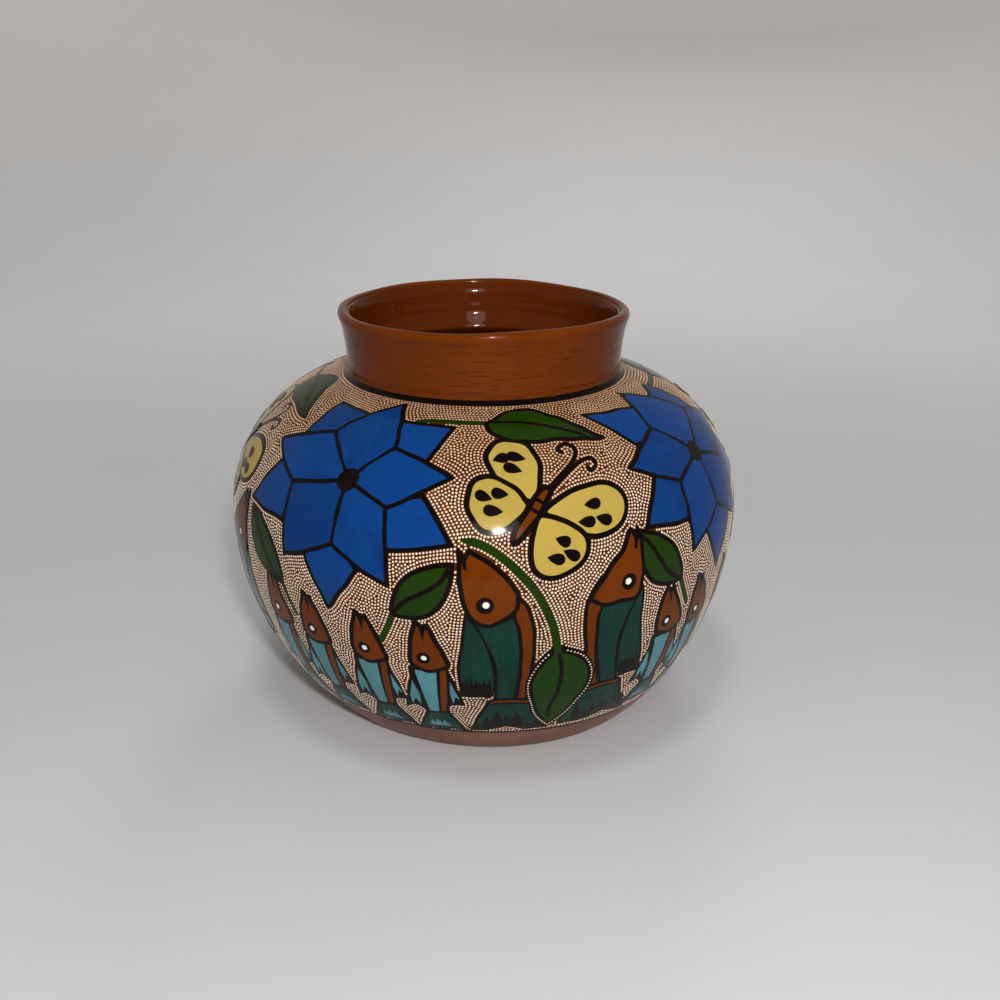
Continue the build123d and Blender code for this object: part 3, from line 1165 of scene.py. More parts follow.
def draw_leaf(hand, long, wide, bend, turn, stem):
    """A small leaf on a short stem."""
    hand.fill(stroke(stem, 1.8, (1.0, 0.4)), "green", 0, 90.0, True)
    hand.outlined(placed(blade(long, wide, bend), turn=turn), "green", 2, turn)
    rib = [
        (-0.6, 0.0),
        (0.26 * long, 0.6 * bend + 1.1),
        (0.5 * long, 0.8 * bend),
        (0.76 * long, 0.5 * bend - 1.1),
        (0.96 * long, 0.0),
    ]
    hand.fill(stroke(placed(rib, turn=turn), hand.line * 1.1, (0.4, 0.8)), "ink", 4)


def draw_right_leaf(hand):
    """The leaf low on the right of a flower."""
    draw_leaf(hand, 25.0, 13.0, -1.0, 43.0, [(0.5, 1.0), (-1.6, -4.6), (-5.0, -11.4)])


def draw_left_leaf(hand):
    """The leaf low on the left of a flower."""
    draw_leaf(hand, 28.0, 13.0, 1.0, 134.0, [(-0.5, 1.0), (2.0, -4.5), (5.4, -11.0)])


def draw_top_leaf(hand):
    """The long leaf that lies along the shoulder, with its stem."""
    stem = [(-22.5, -0.8), (-16.4, 0.8), (-5.2, 0.8), (1.5, 0.6)]
    hand.fill(stroke(stem, 1.9, (0.4, 1.0)), "green", 0, 0.0, True)
    loop = shape(
        [(0, 0), (2.2, -4.5), (10.5, -8), (22.3, -8.2), (37.0, -10.0), (21.1, 2), (12.8, 7.2), (6.0, 6.4)],
        (0, 4),
    )
    hand.outlined(loop, "green", 2, -12.0)
    rib = [(0.5, 1.2), (11.3, 0.3), (22.0, -3.6), (31.5, -8.2)]
    hand.fill(stroke(rib, hand.fine, (1.0, 0.2)), "ink", 4)


# Width in mm of the dark rim round the hanging leaf, and how far the dots strung on it stay off the stem.
HALO, STEM_GAP = 1.9, 2.4


def draw_hanging_leaf(hand):
    """The leaf that hangs between two big fish on a long curved stem."""
    stem = [
        (-0.3, -1.0), (-1.4, 6), (-3.8, 13.2), (-7.4, 20.4), (-11.6, 26.1), (-17.4, 32.0), (-23.3, 35.8),
        (-28.8, 37.0),
    ]
    hand.fill(stroke(stem, 2.3, (1.0, 0.3)), "green", 8, 110.0, True)
    loop = shape(
        [(-0.3, 0), (-5, -5.5), (-7.6, -13), (-6.5, -20), (-3, -29.5), (0.6, -35.5), (4, -31), (8, -23),
         (10.8, -14), (8.4, -5)],
        (0, 5),
    )
    loop = shaken(loop, hand.rng, hand.shake)
    hand.fill(offset(loop, HALO), "ink", 9, 90.0, True)
    hand.fill(offset(loop, -0.4), "green", 10, 90.0)
    hand.beads(offset(loop, HALO * 0.54), 9)
    hand.fill(stroke([(-1.3, 5.4), (-0.7, 1.6), (0.1, -2.6)], 2.2, (0.9, 0.5)), "green", 11, 100.0)
    rib = [(0.1, -0.8), (1.6, -9), (1.2, -18), (-0.6, -26), (0.0, -32)]
    hand.fill(stroke(rib, hand.line * 0.9, (0.5, 0.4)), "ink", 12)


# Root right and up, direction, length and width of each wing, lowest layer first.
WINGS = (
    (-0.3, 2.6, 108, 22.0, 15.0),
    (-1.6, 2.0, 177, 18.0, 16.8),
    (2.6, -0.4, -4, 27.0, 15.6),
    (1.2, -1.8, -64, 19.0, 18.0),
)
# Place of each dark drop and the direction in degrees of its point, three to a wing.
SPOTS = (
    (-8.0, 17.0, 185), (-3.4, 17.3, -20), (-5.0, 13.4, -25),
    (-14.6, 4.8, -15), (-9.8, 5.6, -5), (-12.3, 0.5, 5),
    (17.8, 0.2, 165), (15.4, -4.8, 170), (21.1, -4.8, 160),
    (7.5, -9.4, 165), (5.1, -14.4, 155), (9.9, -13.6, 165),
)


def draw_butterfly(hand):
    """A yellow butterfly seen from above, with three dark drops on each wing."""
    for index, (right, up, turn, long, wide) in enumerate(WINGS):
        wing = placed(egg(long, wide), right, up, turn)
        hand.outlined(wing, "yellow", 2 + 2 * index, turn, hand.line * 1.15)
    for right, up, point in SPOTS:
        turn = point + 180 + hand.rng.uniform(-15, 15)
        long = 5.6 * hand.rng.uniform(0.9, 1.1)
        hand.fill(placed(drop(long, 3.5), right, up, turn) - polar(turn, long / 2), "ink", 10)
    for feeler in (
        [(2.8, 4.6), (8.5, 9.6), (13.6, 14.2), (15.4, 18.2), (12.8, 20.8), (9.8, 19.4), (11.4, 17.4)],
        [(3.4, 4.0), (10, 9.6), (15.8, 13.8), (19.8, 14.6), (21.2, 12.2), (19.2, 10.6), (18.0, 12.2)],
    ):
        hand.fill(stroke(feeler, 1.25, (0.9, 0.5)), "ink", 1, 45.0, True)
    body = shape([
        (-6.8, -8.8), (-4.8, -7.4), (-2.2, -4.4), (0.6, -1.2), (3.2, 2.6), (4.8, 5.4), (3.6, 6.2),
        (1.0, 4.2), (-1.2, 1.6), (-3.8, -2.2), (-6.2, -6.4),
    ])
    hand.outlined(offset(body, 0.4), "brown", 11, 50.0, 1.6)
    for share in (0.6, 0.79):
        middle = np.array((-6.6, -8.0)) + share * np.array((10.6, 13.4))
        hand.fill(stroke([middle + (-1.3, 0.9), middle, middle + (1.3, -0.9)], 1.2), "ink", 13)


# Outlines of the two big fishes' heads, from the tip of the jaw.
LEFT_HEAD = (
    (-10.6, 16.6), (-9.2, 13.6), (-7.6, 17.0), (-2.6, 13.8), (2.9, 9.4), (6.7, 4.0), (5.4, -1.6),
    (-0.5, -6), (-5.9, -5.2), (-8.9, -1), (-10.3, 8),
)
RIGHT_HEAD = (
    (-7.6, 15.8), (-6.5, 12.4), (-5.0, 15.4), (-0.4, 10.0), (5.2, 4.2), (10.4, -3.0), (5.0, -5.2),
    (-1.5, -5.6), (-6.4, -4.8), (-8.4, -0.5), (-8.5, 8.0),
)
# Where the dark spikes stand along a fin's or a tail's edge, as shares of its width.
SPIKES = (0.0, 0.16, 0.34, 0.5, 0.66, 0.83, 1.0)


def draw_big_fish(hand, head=LEFT_HEAD, lean=0.0, trim=0.0, drop_by=1.6):
    """An upright fish, nose up, with a brown head, a teal body and a dark fin.

    Lean draws its lower end aside, trim slims its fin and tail, and drop_by lengthens its tail.
    """

    def leant(points):
        points = np.array(points, float)
        points[:, 0] += lean * (np.clip(-points[:, 1], 0, None) / 38) ** 2
        return points

    def part(points, corners, colour_name, layer, line=hand.fine):
        hand.outlined(shape(leant(points), corners), colour_name, layer, 90.0, line)

    def spikes(left, right, foot, top, layer, least, notch):
        for share in SPIKES:
            side = left + share * (right - left)
            rise = (top - foot) * hand.rng.uniform(least, 1.0)
            wide = (right - left) / 6 * hand.rng.uniform(1.3, 2.0)
            low = foot + notch * math.exp(-((side - 3.4) / 4.0) ** 2)
            tip = (side + hand.rng.uniform(-0.4, 0.4), low + rise)
            hand.fill(leant([(side - wide / 2, low), (side + wide / 2, low), tip]), "ink", layer, 90.0)

    tail = (
        (-2.1, -38.0),
        (10, -38.6),
        (13.2 - lean, -47),
        (15.9 - lean, -54 - drop_by),
        (9.9 - lean / 2, -54.2 - drop_by),
        (3.4, -51.6 - drop_by),
        (-2.9 + trim, -54.2 - drop_by),
        (-7.5 + 1.6 * trim, -55.2 - drop_by),
        (-5.2 + 1.6 * trim, -47),
    )
    part(tail, (0, 1, 3, 5, 7), "deep_teal", 0)
    fin = (
        (-8.8, -3), (-6.0, -6.5), (-3.0, -13), (-0.6, -21), (-0.3, -30), (-1.7, -35.5),
        (-10.3 + trim, -35.6), (-11.0 + trim, -27), (-10.2 + trim, -15),
    )
    part(fin, (0, 5, 6), "deep_teal", 2, hand.fine * 0.8)
    body = (
        (-6.3, -6.0), (-0.5, -5.7), (5.9, -3.5), (7.2, -12), (7.3, -23), (5.7, -37), (-0.1, -37),
        (0.3, -29), (-0.2, -21), (-2.8, -13),
    )
    part(body, (0, 2, 5, 6), "deep_teal", 4, hand.fine * 0.8)
    strip = (
        (6.6, 3.0), (10.0, -2), (11.6, -11), (10.8, -25), (9.6, -37), (6.3, -37), (7.6, -23), (7.5, -11),
        (5.6, -3.5),
    )
    part(strip, (0, 4, 5), "brown", 6)
    belt = leant([(-1.2, -38.2), (4.5, -37.8), (10.2, -38.6)])
    hand.fill(stroke(belt, 2.9, (0.9, 0.9)), "ink", 8)
    hand.fill(stroke(belt, 0.9, (0.9, 0.9)), "brown", 9)
    spikes(-6.2 + 1.6 * trim, 13.4, -54.0 - drop_by, -45.0, 2, 0.35, 3.0)
    left, right, foot = -10.0 + trim, -2.0, -35.2
    edge = [(left, foot), (right, foot), (right + 0.4, foot + 5.6), (left - 0.3, foot + 5.6)]
    hand.fill(leant(edge), "ink", 4, 90.0)
    spikes(left, right, foot, -25.0, 4, 0.66, 0.0)
    hand.outlined(shape(head, (0, 1, 2, 5)), "brown", 10, 60.0)
    mouth = np.array(head[1])
    slit = [mouth + (0.1, 1.0), mouth + (0.2, -0.6), mouth + (0.6, -2.4)]
    hand.fill(stroke(slit, 1.1, (1.0, 0.1)), "ink", 12)
    hand.fill(placed(disc(2.65), -3.1, 0.4), "ink", 12)
    hand.fill(placed(disc(1.05, 14), -2.8, 0.6), "white", 13)


def draw_right_fish(hand):
    """The second fish of a pair."""
    draw_big_fish(hand, RIGHT_HEAD, -3.6, 1.5, 3.6)


def draw_small_fish(hand):
    """A small upright fish with a brown head, a pale teal side and dark fins."""
    back = shape(
        [(-3.8, -3.0), (-5.2, -9.0), (-7.6, -19.0), (-8.6, -24.8), (-5.4, -22.8), (-2.8, -24.4),
         (-2.2, -26.6), (5.2, -25.6), (6.2, -21.4), (10.7, -20.6), (10.0, -15.5), (8.6, -9.0),
         (7.4, -2.4)],
        (3, 5, 6, 7, 9, 12),
    )
    hand.fill(shaken(back, hand.rng, hand.shake), "ink", 0, 90.0, True)
    tail = shape(
        [(-1.9, -26.0), (4.9, -25.4), (8.8, -37.2), (4.8, -36.0), (1.4, -37.6), (-2.2, -36.2),
         (-6.2, -38.0)],
        tuple(range(7)),
    )
    hand.outlined(tail, "deep_teal", 2, 90.0, hand.fine)
    frill = [
        (-2.6, -34.8), (-1.4, -30.8), (-0.5, -33.0), (0.6, -30.0), (1.7, -32.9), (2.8, -30.3),
        (3.5, -32.9), (4.8, -34.4), (1.3, -34.4),
    ]
    hand.fill(shape(frill, tuple(range(9))), "pale_teal", 4, 90.0)
    side = [(-3.1, -5.2), (3.8, -4.8), (3.0, -14.0), (2.1, -25.0), (-0.9, -25.2), (-2.0, -14.0)]
    strip = [(5.0, -4.0), (6.9, -3.4), (6.1, -14.0), (4.4, -24.6), (2.9, -24.8), (4.0, -14.0)]
    for points, colour_name in ((side, "pale_teal"), (strip, "brown")):
        hand.fill(shape(points, (0, 1, 3, 4)), colour_name, 2, 90.0)
    right_fin = [(7.5, -9.0), (9.6, -17.4), (8.4, -16.2), (7.4, -19.8), (6.9, -15.0)]
    hand.fill(shape(right_fin, tuple(range(5))), "pale_teal", 2, 80.0)
    left_fin = [(-4.6, -10.0), (-3.0, -16.5), (-3.3, -22.2), (-4.6, -18.6), (-6.2, -22.0), (-6.3, -17.4)]
    hand.fill(shape(left_fin, tuple(range(6))), "pale_teal", 2, 100.0)
    head = shape(
        [(-1.2, 13.2), (0.5, 12.0), (2.1, 12.5), (5.6, 5.0), (7.7, -1.0), (7.0, -2.8), (1.4, -4.8),
         (-3.4, -2.8), (-4.0, -0.2), (-3.3, 6.5)],
        (0, 1, 2, 4, 7),
    )
    hand.outlined(head, "brown", 4, 75.0, hand.line * 1.05)
    mouth = [(-0.9, 12.8), (0.1, 10.0), (0.8, 6.8), (1.2, 9.6), (2.0, 12.1), (0.5, 11.6)]
    hand.fill(shape(mouth, (0, 2, 4, 5)), "ink", 6)
    hand.fill(placed(disc(2.15), 0.3, 0.4), "ink", 6)
    hand.fill(placed(disc(0.9, 14), 0.5, 0.5), "white", 7)


# Family, drawing, angle round the jar in degrees, climb up the wall in mm, and whether it is mirrored.
LAYOUT = (
    ("flower", draw_flower, -30.8, 110.8, False),
    ("leaf", draw_right_leaf, -17.6, 72.5, False),
    ("leaf", draw_left_leaf, -46.0, 72.0, False),
    ("leaf", draw_top_leaf, 1.0, 136.0, False),
    ("hanging_leaf", draw_hanging_leaf, 14.8, 60.0, False),
    ("butterfly", draw_butterfly, 10.5, 105.0, False),
    ("big_fish", draw_big_fish, 2.3, 77.0, False),
    ("big_fish", draw_right_fish, 27.1, 79.4, True),
    ("small_fish", draw_small_fish, -50.2, 60.0, False),
    ("small_fish", draw_small_fish, -38.6, 58.2, False),
    ("small_fish", draw_small_fish, -25.0, 57.2, False),
    ("small_fish", draw_small_fish, -12.2, 57.0, False),
)
SECTORS = 4
QUARTER = 90
# Families that strayed round the jar together, and how far, in degrees, in each quarter.
DRIFTING = ("butterfly", "big_fish", "hanging_leaf")
DRIFT = (0.0, 0.8, -1.2, -3.6)
# How far the left leaf strayed up the wall, in mm, in each quarter.
LEAF_RISE = (0.0, 3.2, 1.4, 0.6)
# How far any motif strays at random, in degrees and mm, after the first quarter.
STRAY = 0.35
# Where a quarter's share of the unwrapped picture starts and how wide it is, in degrees.
MAP_START, MAP_WIDTH = -66, 108
# Distance in mm between points inside a film of paint, and how far its edge is sunk into the wall.
FILM_STEP, FILM_SKIRT = 2.0, 0.12

Laid = namedtuple("Laid", "patch angle climb sector mirrored seed")


def laid_out(paint, families):
    """Every patch of the named families in all four quarters, with where it goes."""
    made = []
    for sector in range(SECTORS):
        for row, (family, draw, angle, climb, mirrored) in enumerate(LAYOUT):
            rng = np.random.default_rng((paint.seed, sector, row))
            hand = Hand(paint, rng, sector)
            draw(hand)
            stray = rng.normal(size=2) * (0.0 if sector == 0 else STRAY)
            if family in DRIFTING:
                stray[0] += DRIFT[sector]
            if draw is draw_left_leaf:
                stray[1] += LEAF_RISE[sector]
            if family in families:
                turn = math.radians(angle + QUARTER * sector + stray[0])
                for patch in hand.patches + hand.strings:
                    made.append(Laid(patch, turn, climb + stray[1], sector, mirrored, row))
    return made


def to_wall(form, laid, flat):
    """Angles and climbs of flat drawn points, laid on the wall at their motif's place."""
    flat = np.asarray(flat, float)
    right = -flat[:, 0] if laid.mirrored else flat[:, 0]
    climb = laid.climb + flat[:, 1]
    return laid.angle + right / form.ring(climb)[0], climb


def baked_place(angle, climb, sector, form):
    """Place in the unwrapped picture: each quarter of the wall has a quarter of the square."""
    across = (angle - math.radians(QUARTER * sector + MAP_START)) / math.radians(MAP_WIDTH)
    u = 0.5 * (np.clip(across, 0, 1) + sector % 2)
    v = 0.5 * (np.clip(climb / form.neck_run, 0, 1) + sector // 2)
    return np.column_stack((u, v))


def filled(loop):
    """Points and triangles that fill a flat loop."""
    low, high = loop.min(axis=0), loop.max(axis=0)
    across, up = np.arange(low[0], high[0], FILM_STEP), np.arange(low[1], high[1], FILM_STEP)
    grid = np.stack(np.meshgrid(across, up), -1).reshape(-1, 2)
    if len(grid):
        gaps = ((grid[:, None, :] - loop[None, :, :]) ** 2).sum(axis=2).min(axis=1)
        grid = grid[gaps > 1.0]
    count = len(loop)
    rim = [(index, (index + 1) % count) for index in range(count)]
    points = [Vector(point) for point in np.vstack((loop, grid))]
    result = delaunay_2d_cdt(points, rim, [], 1, 1e-5)
    return np.array([tuple(point) for point in result[0]]), list(result[2])


def open_sides(faces):
    """Sides that only one of the faces has."""
    sides = {}
    for face in faces:
        for first, second in zip(face, face[1:] + face[:1]):
            sides[(first, second)] = (second, first) not in sides
            if (second, first) in sides:
                sides[(second, first)] = False
    return [pair for pair, single in sides.items() if single]


def painted(name, form, laid_patches, film, finish):
    """One piece of all the patches of one paint, each a thin film with its edge turned down."""
    points, faces, brush, places = [], [], [], []
    start = 0
    for laid in laid_patches:
        patch = laid.patch
        flat, order = filled(patch.loop)
        if laid.mirrored:
            order = [face[::-1] for face in order]
        angle, climb = to_wall(form, laid, flat)
        top, _ = form.on_wall(angle, climb, film * (patch.layer + 1))
        skirt, _ = form.on_wall(angle, climb, -FILM_SKIRT)
        outer = open_sides(order)
        chosen = sorted({vertex for pair in outer for vertex in pair})
        feet = {vertex: place for place, vertex in enumerate(chosen)}
        total = len(flat)
        faces.extend(tuple(start + vertex for vertex in face) for face in order)
        faces.extend(
            (start + second, start + first, start + total + feet[first], start + total + feet[second])
            for first, second in outer
        )
        points.append(np.vstack((top, skirt[chosen])))
        sin, cos = math.sin(math.radians(patch.brush)), math.cos(math.radians(patch.brush))
        along = flat @ np.array((cos, sin))
        across = flat @ np.array((-sin, cos))
        tone = np.full(total, 7.3 * laid.seed + 31.0 * laid.sector + 3.1 * patch.brush)
        grain = np.column_stack((along, across, tone))
        brush.append(np.vstack((grain, grain[chosen])))
        place = baked_place(angle, climb, laid.sector, form)
        places.append(np.vstack((place, place[chosen])))
        start += total + len(chosen)
    piece = new_piece(name, np.vstack(points), (), faces)
    mesh = piece.data
    mesh.materials.append(finish)
    store(mesh, "brush", np.vstack(brush))
    bake_map(mesh, np.vstack(places))
    smooth(mesh)
    mesh.set_sharp_from_angle(angle=math.radians(FILM_CREASE))
    settled(piece, "painted_body")


def bake_map(mesh, places):
    """Gives a mesh the unwrapped picture's map from a place for each vertex."""
    corners = np.empty(len(mesh.loops), np.int32)
    mesh.loops.foreach_get("vertex_index", corners)
    layer = mesh.uv_layers.new(name="OFBake")
    layer.data.foreach_set("uv", places[corners].ravel())


def paint_families(context, prefix, families):
    """Makes one piece for each paint used by the families."""
    paint, form = settings_of(context)
    coats = finishes(paint)
    laid_patches = laid_out(paint, families)
    for name in coats:
        chosen = [laid for laid in laid_patches if laid.patch.paint == name]
        if chosen and name != "dots":
            painted(f"{prefix}_{name}", form, chosen, paint.film / MM, coats[name])
    return {"FINISHED"}


# Slip dots


# Rows of dots that follow a motif's edge at most.
EDGE_ROWS = 18
# Least distance between dots, in pitches: in the rows along the painting's two borders, and elsewhere.
BORDER_ROOM, ROOM = 0.85, 0.84
# Step in mm of the search for gaps between the rows.
GAP_STEP = 0.3
# Pitch and size of the dots strung round a hanging leaf, against the others.
STRING_PITCH, STRING_SIZE = 1.2, 0.84
# Rounds in which dots push each other apart, from how many pitches away, and how far in mm at most.
PUSH_ROUNDS, PUSH_REACH, PUSH_MOST = 5, 1.3, 0.15
# Sides of a dot, and the share of its height that is sunk into the wall.
DOT_SIDES, DOT_SINK = 7, 0.25


def search_tree(points):
    """A tree that finds the nearest of some points."""
    tree = KDTree(len(points))
    for index, point in enumerate(points):
        tree.insert(point, index)
    tree.balance()
    return tree


class Ground:
    """The wall as a map that knows where it is painted over and where dots lie."""

    # Size of one cell of the map, in mm.
    cell = 0.25

    def __init__(self, form, low, high):
        self.form = form
        self.low = low
        self.high = high
        self.columns = int(2 * math.pi * form.belly / self.cell)
        self.rows = int((high - low) / self.cell) + 1
        self.covered = np.zeros((self.rows, self.columns), bool)
        self.taken = np.zeros((self.rows, self.columns), bool)
        self.dots = {}
        self.found = []

    def column(self, angle):
        """Column of the map at an angle."""
        return np.floor(np.asarray(angle) / (2 * math.pi) * self.columns).astype(int)

    def cover(self, angle, climb):
        """Marks the inside of a loop as painted over."""
        first = max(0, int((climb.min() - self.low) / self.cell))
        last = min(self.rows - 1, int((climb.max() - self.low) / self.cell))
        after_angle, after_climb = np.roll(angle, -1), np.roll(climb, -1)
        for row in range(first, last + 1):
            level = self.low + (row + 0.5) * self.cell
            cuts = (climb <= level) != (after_climb <= level)
            if not cuts.any():
                continue
            share = (level - climb[cuts]) / (after_climb[cuts] - climb[cuts])
            meets = np.sort(angle[cuts] + share * (after_angle[cuts] - angle[cuts]))
            for start, end in zip(meets[::2], meets[1::2]):
                span = np.arange(self.column(start), self.column(end) + 1) % self.columns
                self.covered[row, span] = True

    def at(self, cells, angle, climb):
        """What a map says at places on the wall."""
        row = np.clip(((climb - self.low) / self.cell).astype(int), 0, self.rows - 1)
        return cells[row, self.column(angle) % self.columns]

    def is_covered(self, angle, climb):
        """Whether places are painted over or outside the painting."""
        outside = (climb < self.low) | (climb > self.high)
        return self.at(self.covered, angle, climb) | outside

    def add(self, angle, climb, room):
        """Sets a dot unless another is nearer than room. Says whether it was set."""
        radius, height, _, _ = map(float, self.form.ring(climb))
        angle = angle % (2 * math.pi)
        point = (radius * math.sin(angle), -radius * math.cos(angle), height)
        home = tuple(int(math.floor(value)) for value in point)
        for x in (home[0] - 1, home[0], home[0] + 1):
            for y in (home[1] - 1, home[1], home[1] + 1):
                for z in (home[2] - 1, home[2], home[2] + 1):
                    for other in self.dots.get((x, y, z), ()):
                        if sum((a - b) ** 2 for a, b in zip(point, other)) < room * room:
                            return False
        self.dots.setdefault(home, []).append(point)
        self.found.append((angle, climb, 0.0))
        reach = 0.75 * room
        wide = reach / radius
        span = np.arange(self.column(angle - wide), self.column(angle + wide) + 1) % self.columns
        first = max(0, int((climb - reach - self.low) / self.cell))
        self.taken[first:int((climb + reach - self.low) / self.cell) + 1, span] = True
        return True


def edge_samples(laid):
    """Points along a motif's edge with their outward directions, fanned round sharp tips."""
    loop = ccw(evened(laid.patch.loop, 0.3))
    ahead = np.roll(loop, -1, axis=0) - loop
    heading = np.arctan2(ahead[:, 1], ahead[:, 0])
    places, facings = [], []
    for index in range(len(loop)):
        before = heading[index - 1]
        turn = (heading[index] - before + math.pi) % (2 * math.pi) - math.pi
        steps = 1 + max(0, int(turn / 0.05))
        for step in range(steps):
            direction = before + turn * (step + 0.5) / steps
            places.append(loop[index])
            facings.append((math.sin(direction), -math.cos(direction)))
    return np.array(places), np.array(facings)


def rows_of_dots(form, paint, laid_patches):
    """Angle, climb and lift of every dot: rows that follow the motifs' edges, then dots in the gaps."""
    pitch = paint.dot_pitch / MM
    first = paint.dot_width / MM * 0.5 + 0.1
    low = form.climb_at(paint.band / MM) + 0.9
    high = form.neck_run - NECK_LINE - 0.15
    ground = Ground(form, low, high)
    edges = [laid for laid in laid_patches if laid.patch.edge]
    for laid in edges:
        angle, climb = to_wall(form, laid, laid.patch.loop)
        ground.cover(angle, climb)
    rng = np.random.default_rng(paint.seed)
    for climb in (low + first, high - first, high - first - pitch):
        radius = float(form.ring(climb)[0])
        count = int(2 * math.pi * radius / pitch)
        for angle in np.arange(count) * (2 * math.pi / count):
            if not ground.is_covered(np.array([angle]), np.array([climb]))[0]:
                ground.add(angle, climb, BORDER_ROOM * pitch)
    runs = []
    for laid in edges:
        places, facings = edge_samples(laid)
        angle, climb = to_wall(form, laid, places + facings * 0.3)
        runs.append((laid, places, facings, ~ground.is_covered(angle, climb)))
    solid = []
    for laid, places, _, open_edge in runs:
        solid.append(form.true_points(*to_wall(form, laid, places[open_edge])))
    tree = search_tree(np.vstack(solid))
    follow_edges(form, ground, tree, runs, pitch, first, rng)
    fill_gaps(form, ground, tree, pitch, first, rng)
    spots = spread_out(form, ground, tree, np.array(ground.found), pitch, first)
    return np.vstack([spots] + strings_of_dots(form, paint, laid_patches))


def follow_edges(form, ground, tree, runs, pitch, first, rng):
    """Walks round the motifs' open edges, a row further out each time, and sets a dot every pitch."""
    spent = set()
    for row in range(EDGE_ROWS):
        away = first + row * pitch
        for number, (laid, places, facings, open_edge) in enumerate(runs):
            if number in spent:
                continue
            angle, climb = to_wall(form, laid, places + facings * away)
            good = open_edge & ~ground.is_covered(angle, climb)
            spots = form.true_points(angle, climb)
            last, walked, reached = None, 0.0, False
            for index in np.nonzero(good)[0]:
                if tree.find(spots[index])[2] < away - 0.12:
                    last = None
                    continue
                reached = True
                step = 0.0 if last is None else float(np.linalg.norm(spots[index] - spots[last]))
                if last is None or step > 2 * pitch:
                    last, walked = index, pitch * rng.uniform(0.7, 1.0)
                    continue
                walked += step
                if walked >= pitch:
                    back = min(1.0, (walked - pitch) / max(step, 1e-6))
                    spot_angle = angle[index] + back * (angle[last] - angle[index])
                    spot_climb = climb[index] + back * (climb[last] - climb[index])
                    set_now = ground.add(spot_angle, spot_climb, ROOM * pitch)
                    walked = walked - pitch if set_now else 0.8 * pitch
                last = index
            if not reached:
                spent.add(number)


def fill_gaps(form, ground, tree, pitch, first, rng):
    """Sets a dot wherever the rows left room for one."""
    for climb in np.arange(ground.low + first, ground.high - first, GAP_STEP):
        radius, height, _, _ = map(float, form.ring(climb))
        count = int(2 * math.pi * radius / GAP_STEP)
        angle = (np.arange(count) + rng.uniform()) * (2 * math.pi / count)
        levels = np.full(count, climb)
        free = ~ground.is_covered(angle, levels) & ~ground.at(ground.taken, angle, levels)
        for value in angle[free]:
            spot = (radius * math.sin(value), -radius * math.cos(value), height)
            if tree.find(spot)[2] >= first - 0.1:
                ground.add(value, climb, ROOM * pitch)


def strings_of_dots(form, paint, laid_patches):
    """The dots strung round the hanging leaves, on top of their dark rims."""
    strings = []
    for laid in laid_patches:
        if laid.patch.paint != "dots":
            continue
        loop = np.vstack((laid.patch.loop, laid.patch.loop[:1]))
        run = np.concatenate(([0.0], np.cumsum(np.linalg.norm(np.diff(loop, axis=0), axis=1))))
        count = int(run[-1] / (STRING_PITCH * (paint.dot_pitch / MM)))
        marks = np.arange(count) * (run[-1] / count)
        flat = np.column_stack([np.interp(marks, run, axis) for axis in loop.T])
        flat = flat[np.hypot(*flat.T) > STEM_GAP]
        angle, climb = to_wall(form, laid, flat)
        lift = np.full(len(flat), paint.film / MM * (laid.patch.layer + 1))
        strings.append(np.column_stack((angle % (2 * math.pi), climb, lift)))
    return strings


def spread_out(form, ground, edges, spots, pitch, first):
    """Lets neighbouring dots push each other apart, so that no gap is left where rows meet."""
    angle, climb = spots[:, 0].copy(), spots[:, 1].copy()
    reach = PUSH_REACH * pitch
    points, radius = form.true_points(angle, climb), form.ring(climb)[0]
    loose = np.array([edges.find(point)[2] > first + 0.25 for point in points])
    loose &= (climb > ground.low + first + 0.2) & (climb < ground.high - first - 0.2)
    for _ in range(PUSH_ROUNDS):
        tree = search_tree(points)
        push = np.zeros((len(points), 2))
        for index in np.nonzero(loose)[0]:
            for _, other, gap in tree.find_range(points[index], reach):
                if other != index:
                    turn = (angle[index] - angle[other] + math.pi) % (2 * math.pi) - math.pi
                    across = turn * radius[index]
                    pull = (1 - gap / reach) / max(gap, 0.1)
                    push[index] += (across * pull, (climb[index] - climb[other]) * pull)
        push = np.clip(0.3 * push, -PUSH_MOST, PUSH_MOST)
        new_angle, new_climb = angle + push[:, 0] / radius, climb + push[:, 1]
        new_points = form.true_points(new_angle, new_climb)
        clear = loose & ~ground.is_covered(new_angle, new_climb)
        for index in np.nonzero(clear)[0]:
            clear[index] = edges.find(new_points[index])[2] > first
        angle, climb = np.where(clear, new_angle, angle), np.where(clear, new_climb, climb)
        points, radius = form.true_points(angle, climb), form.ring(climb)[0]
    return np.column_stack((angle % (2 * math.pi), climb, spots[:, 2]))


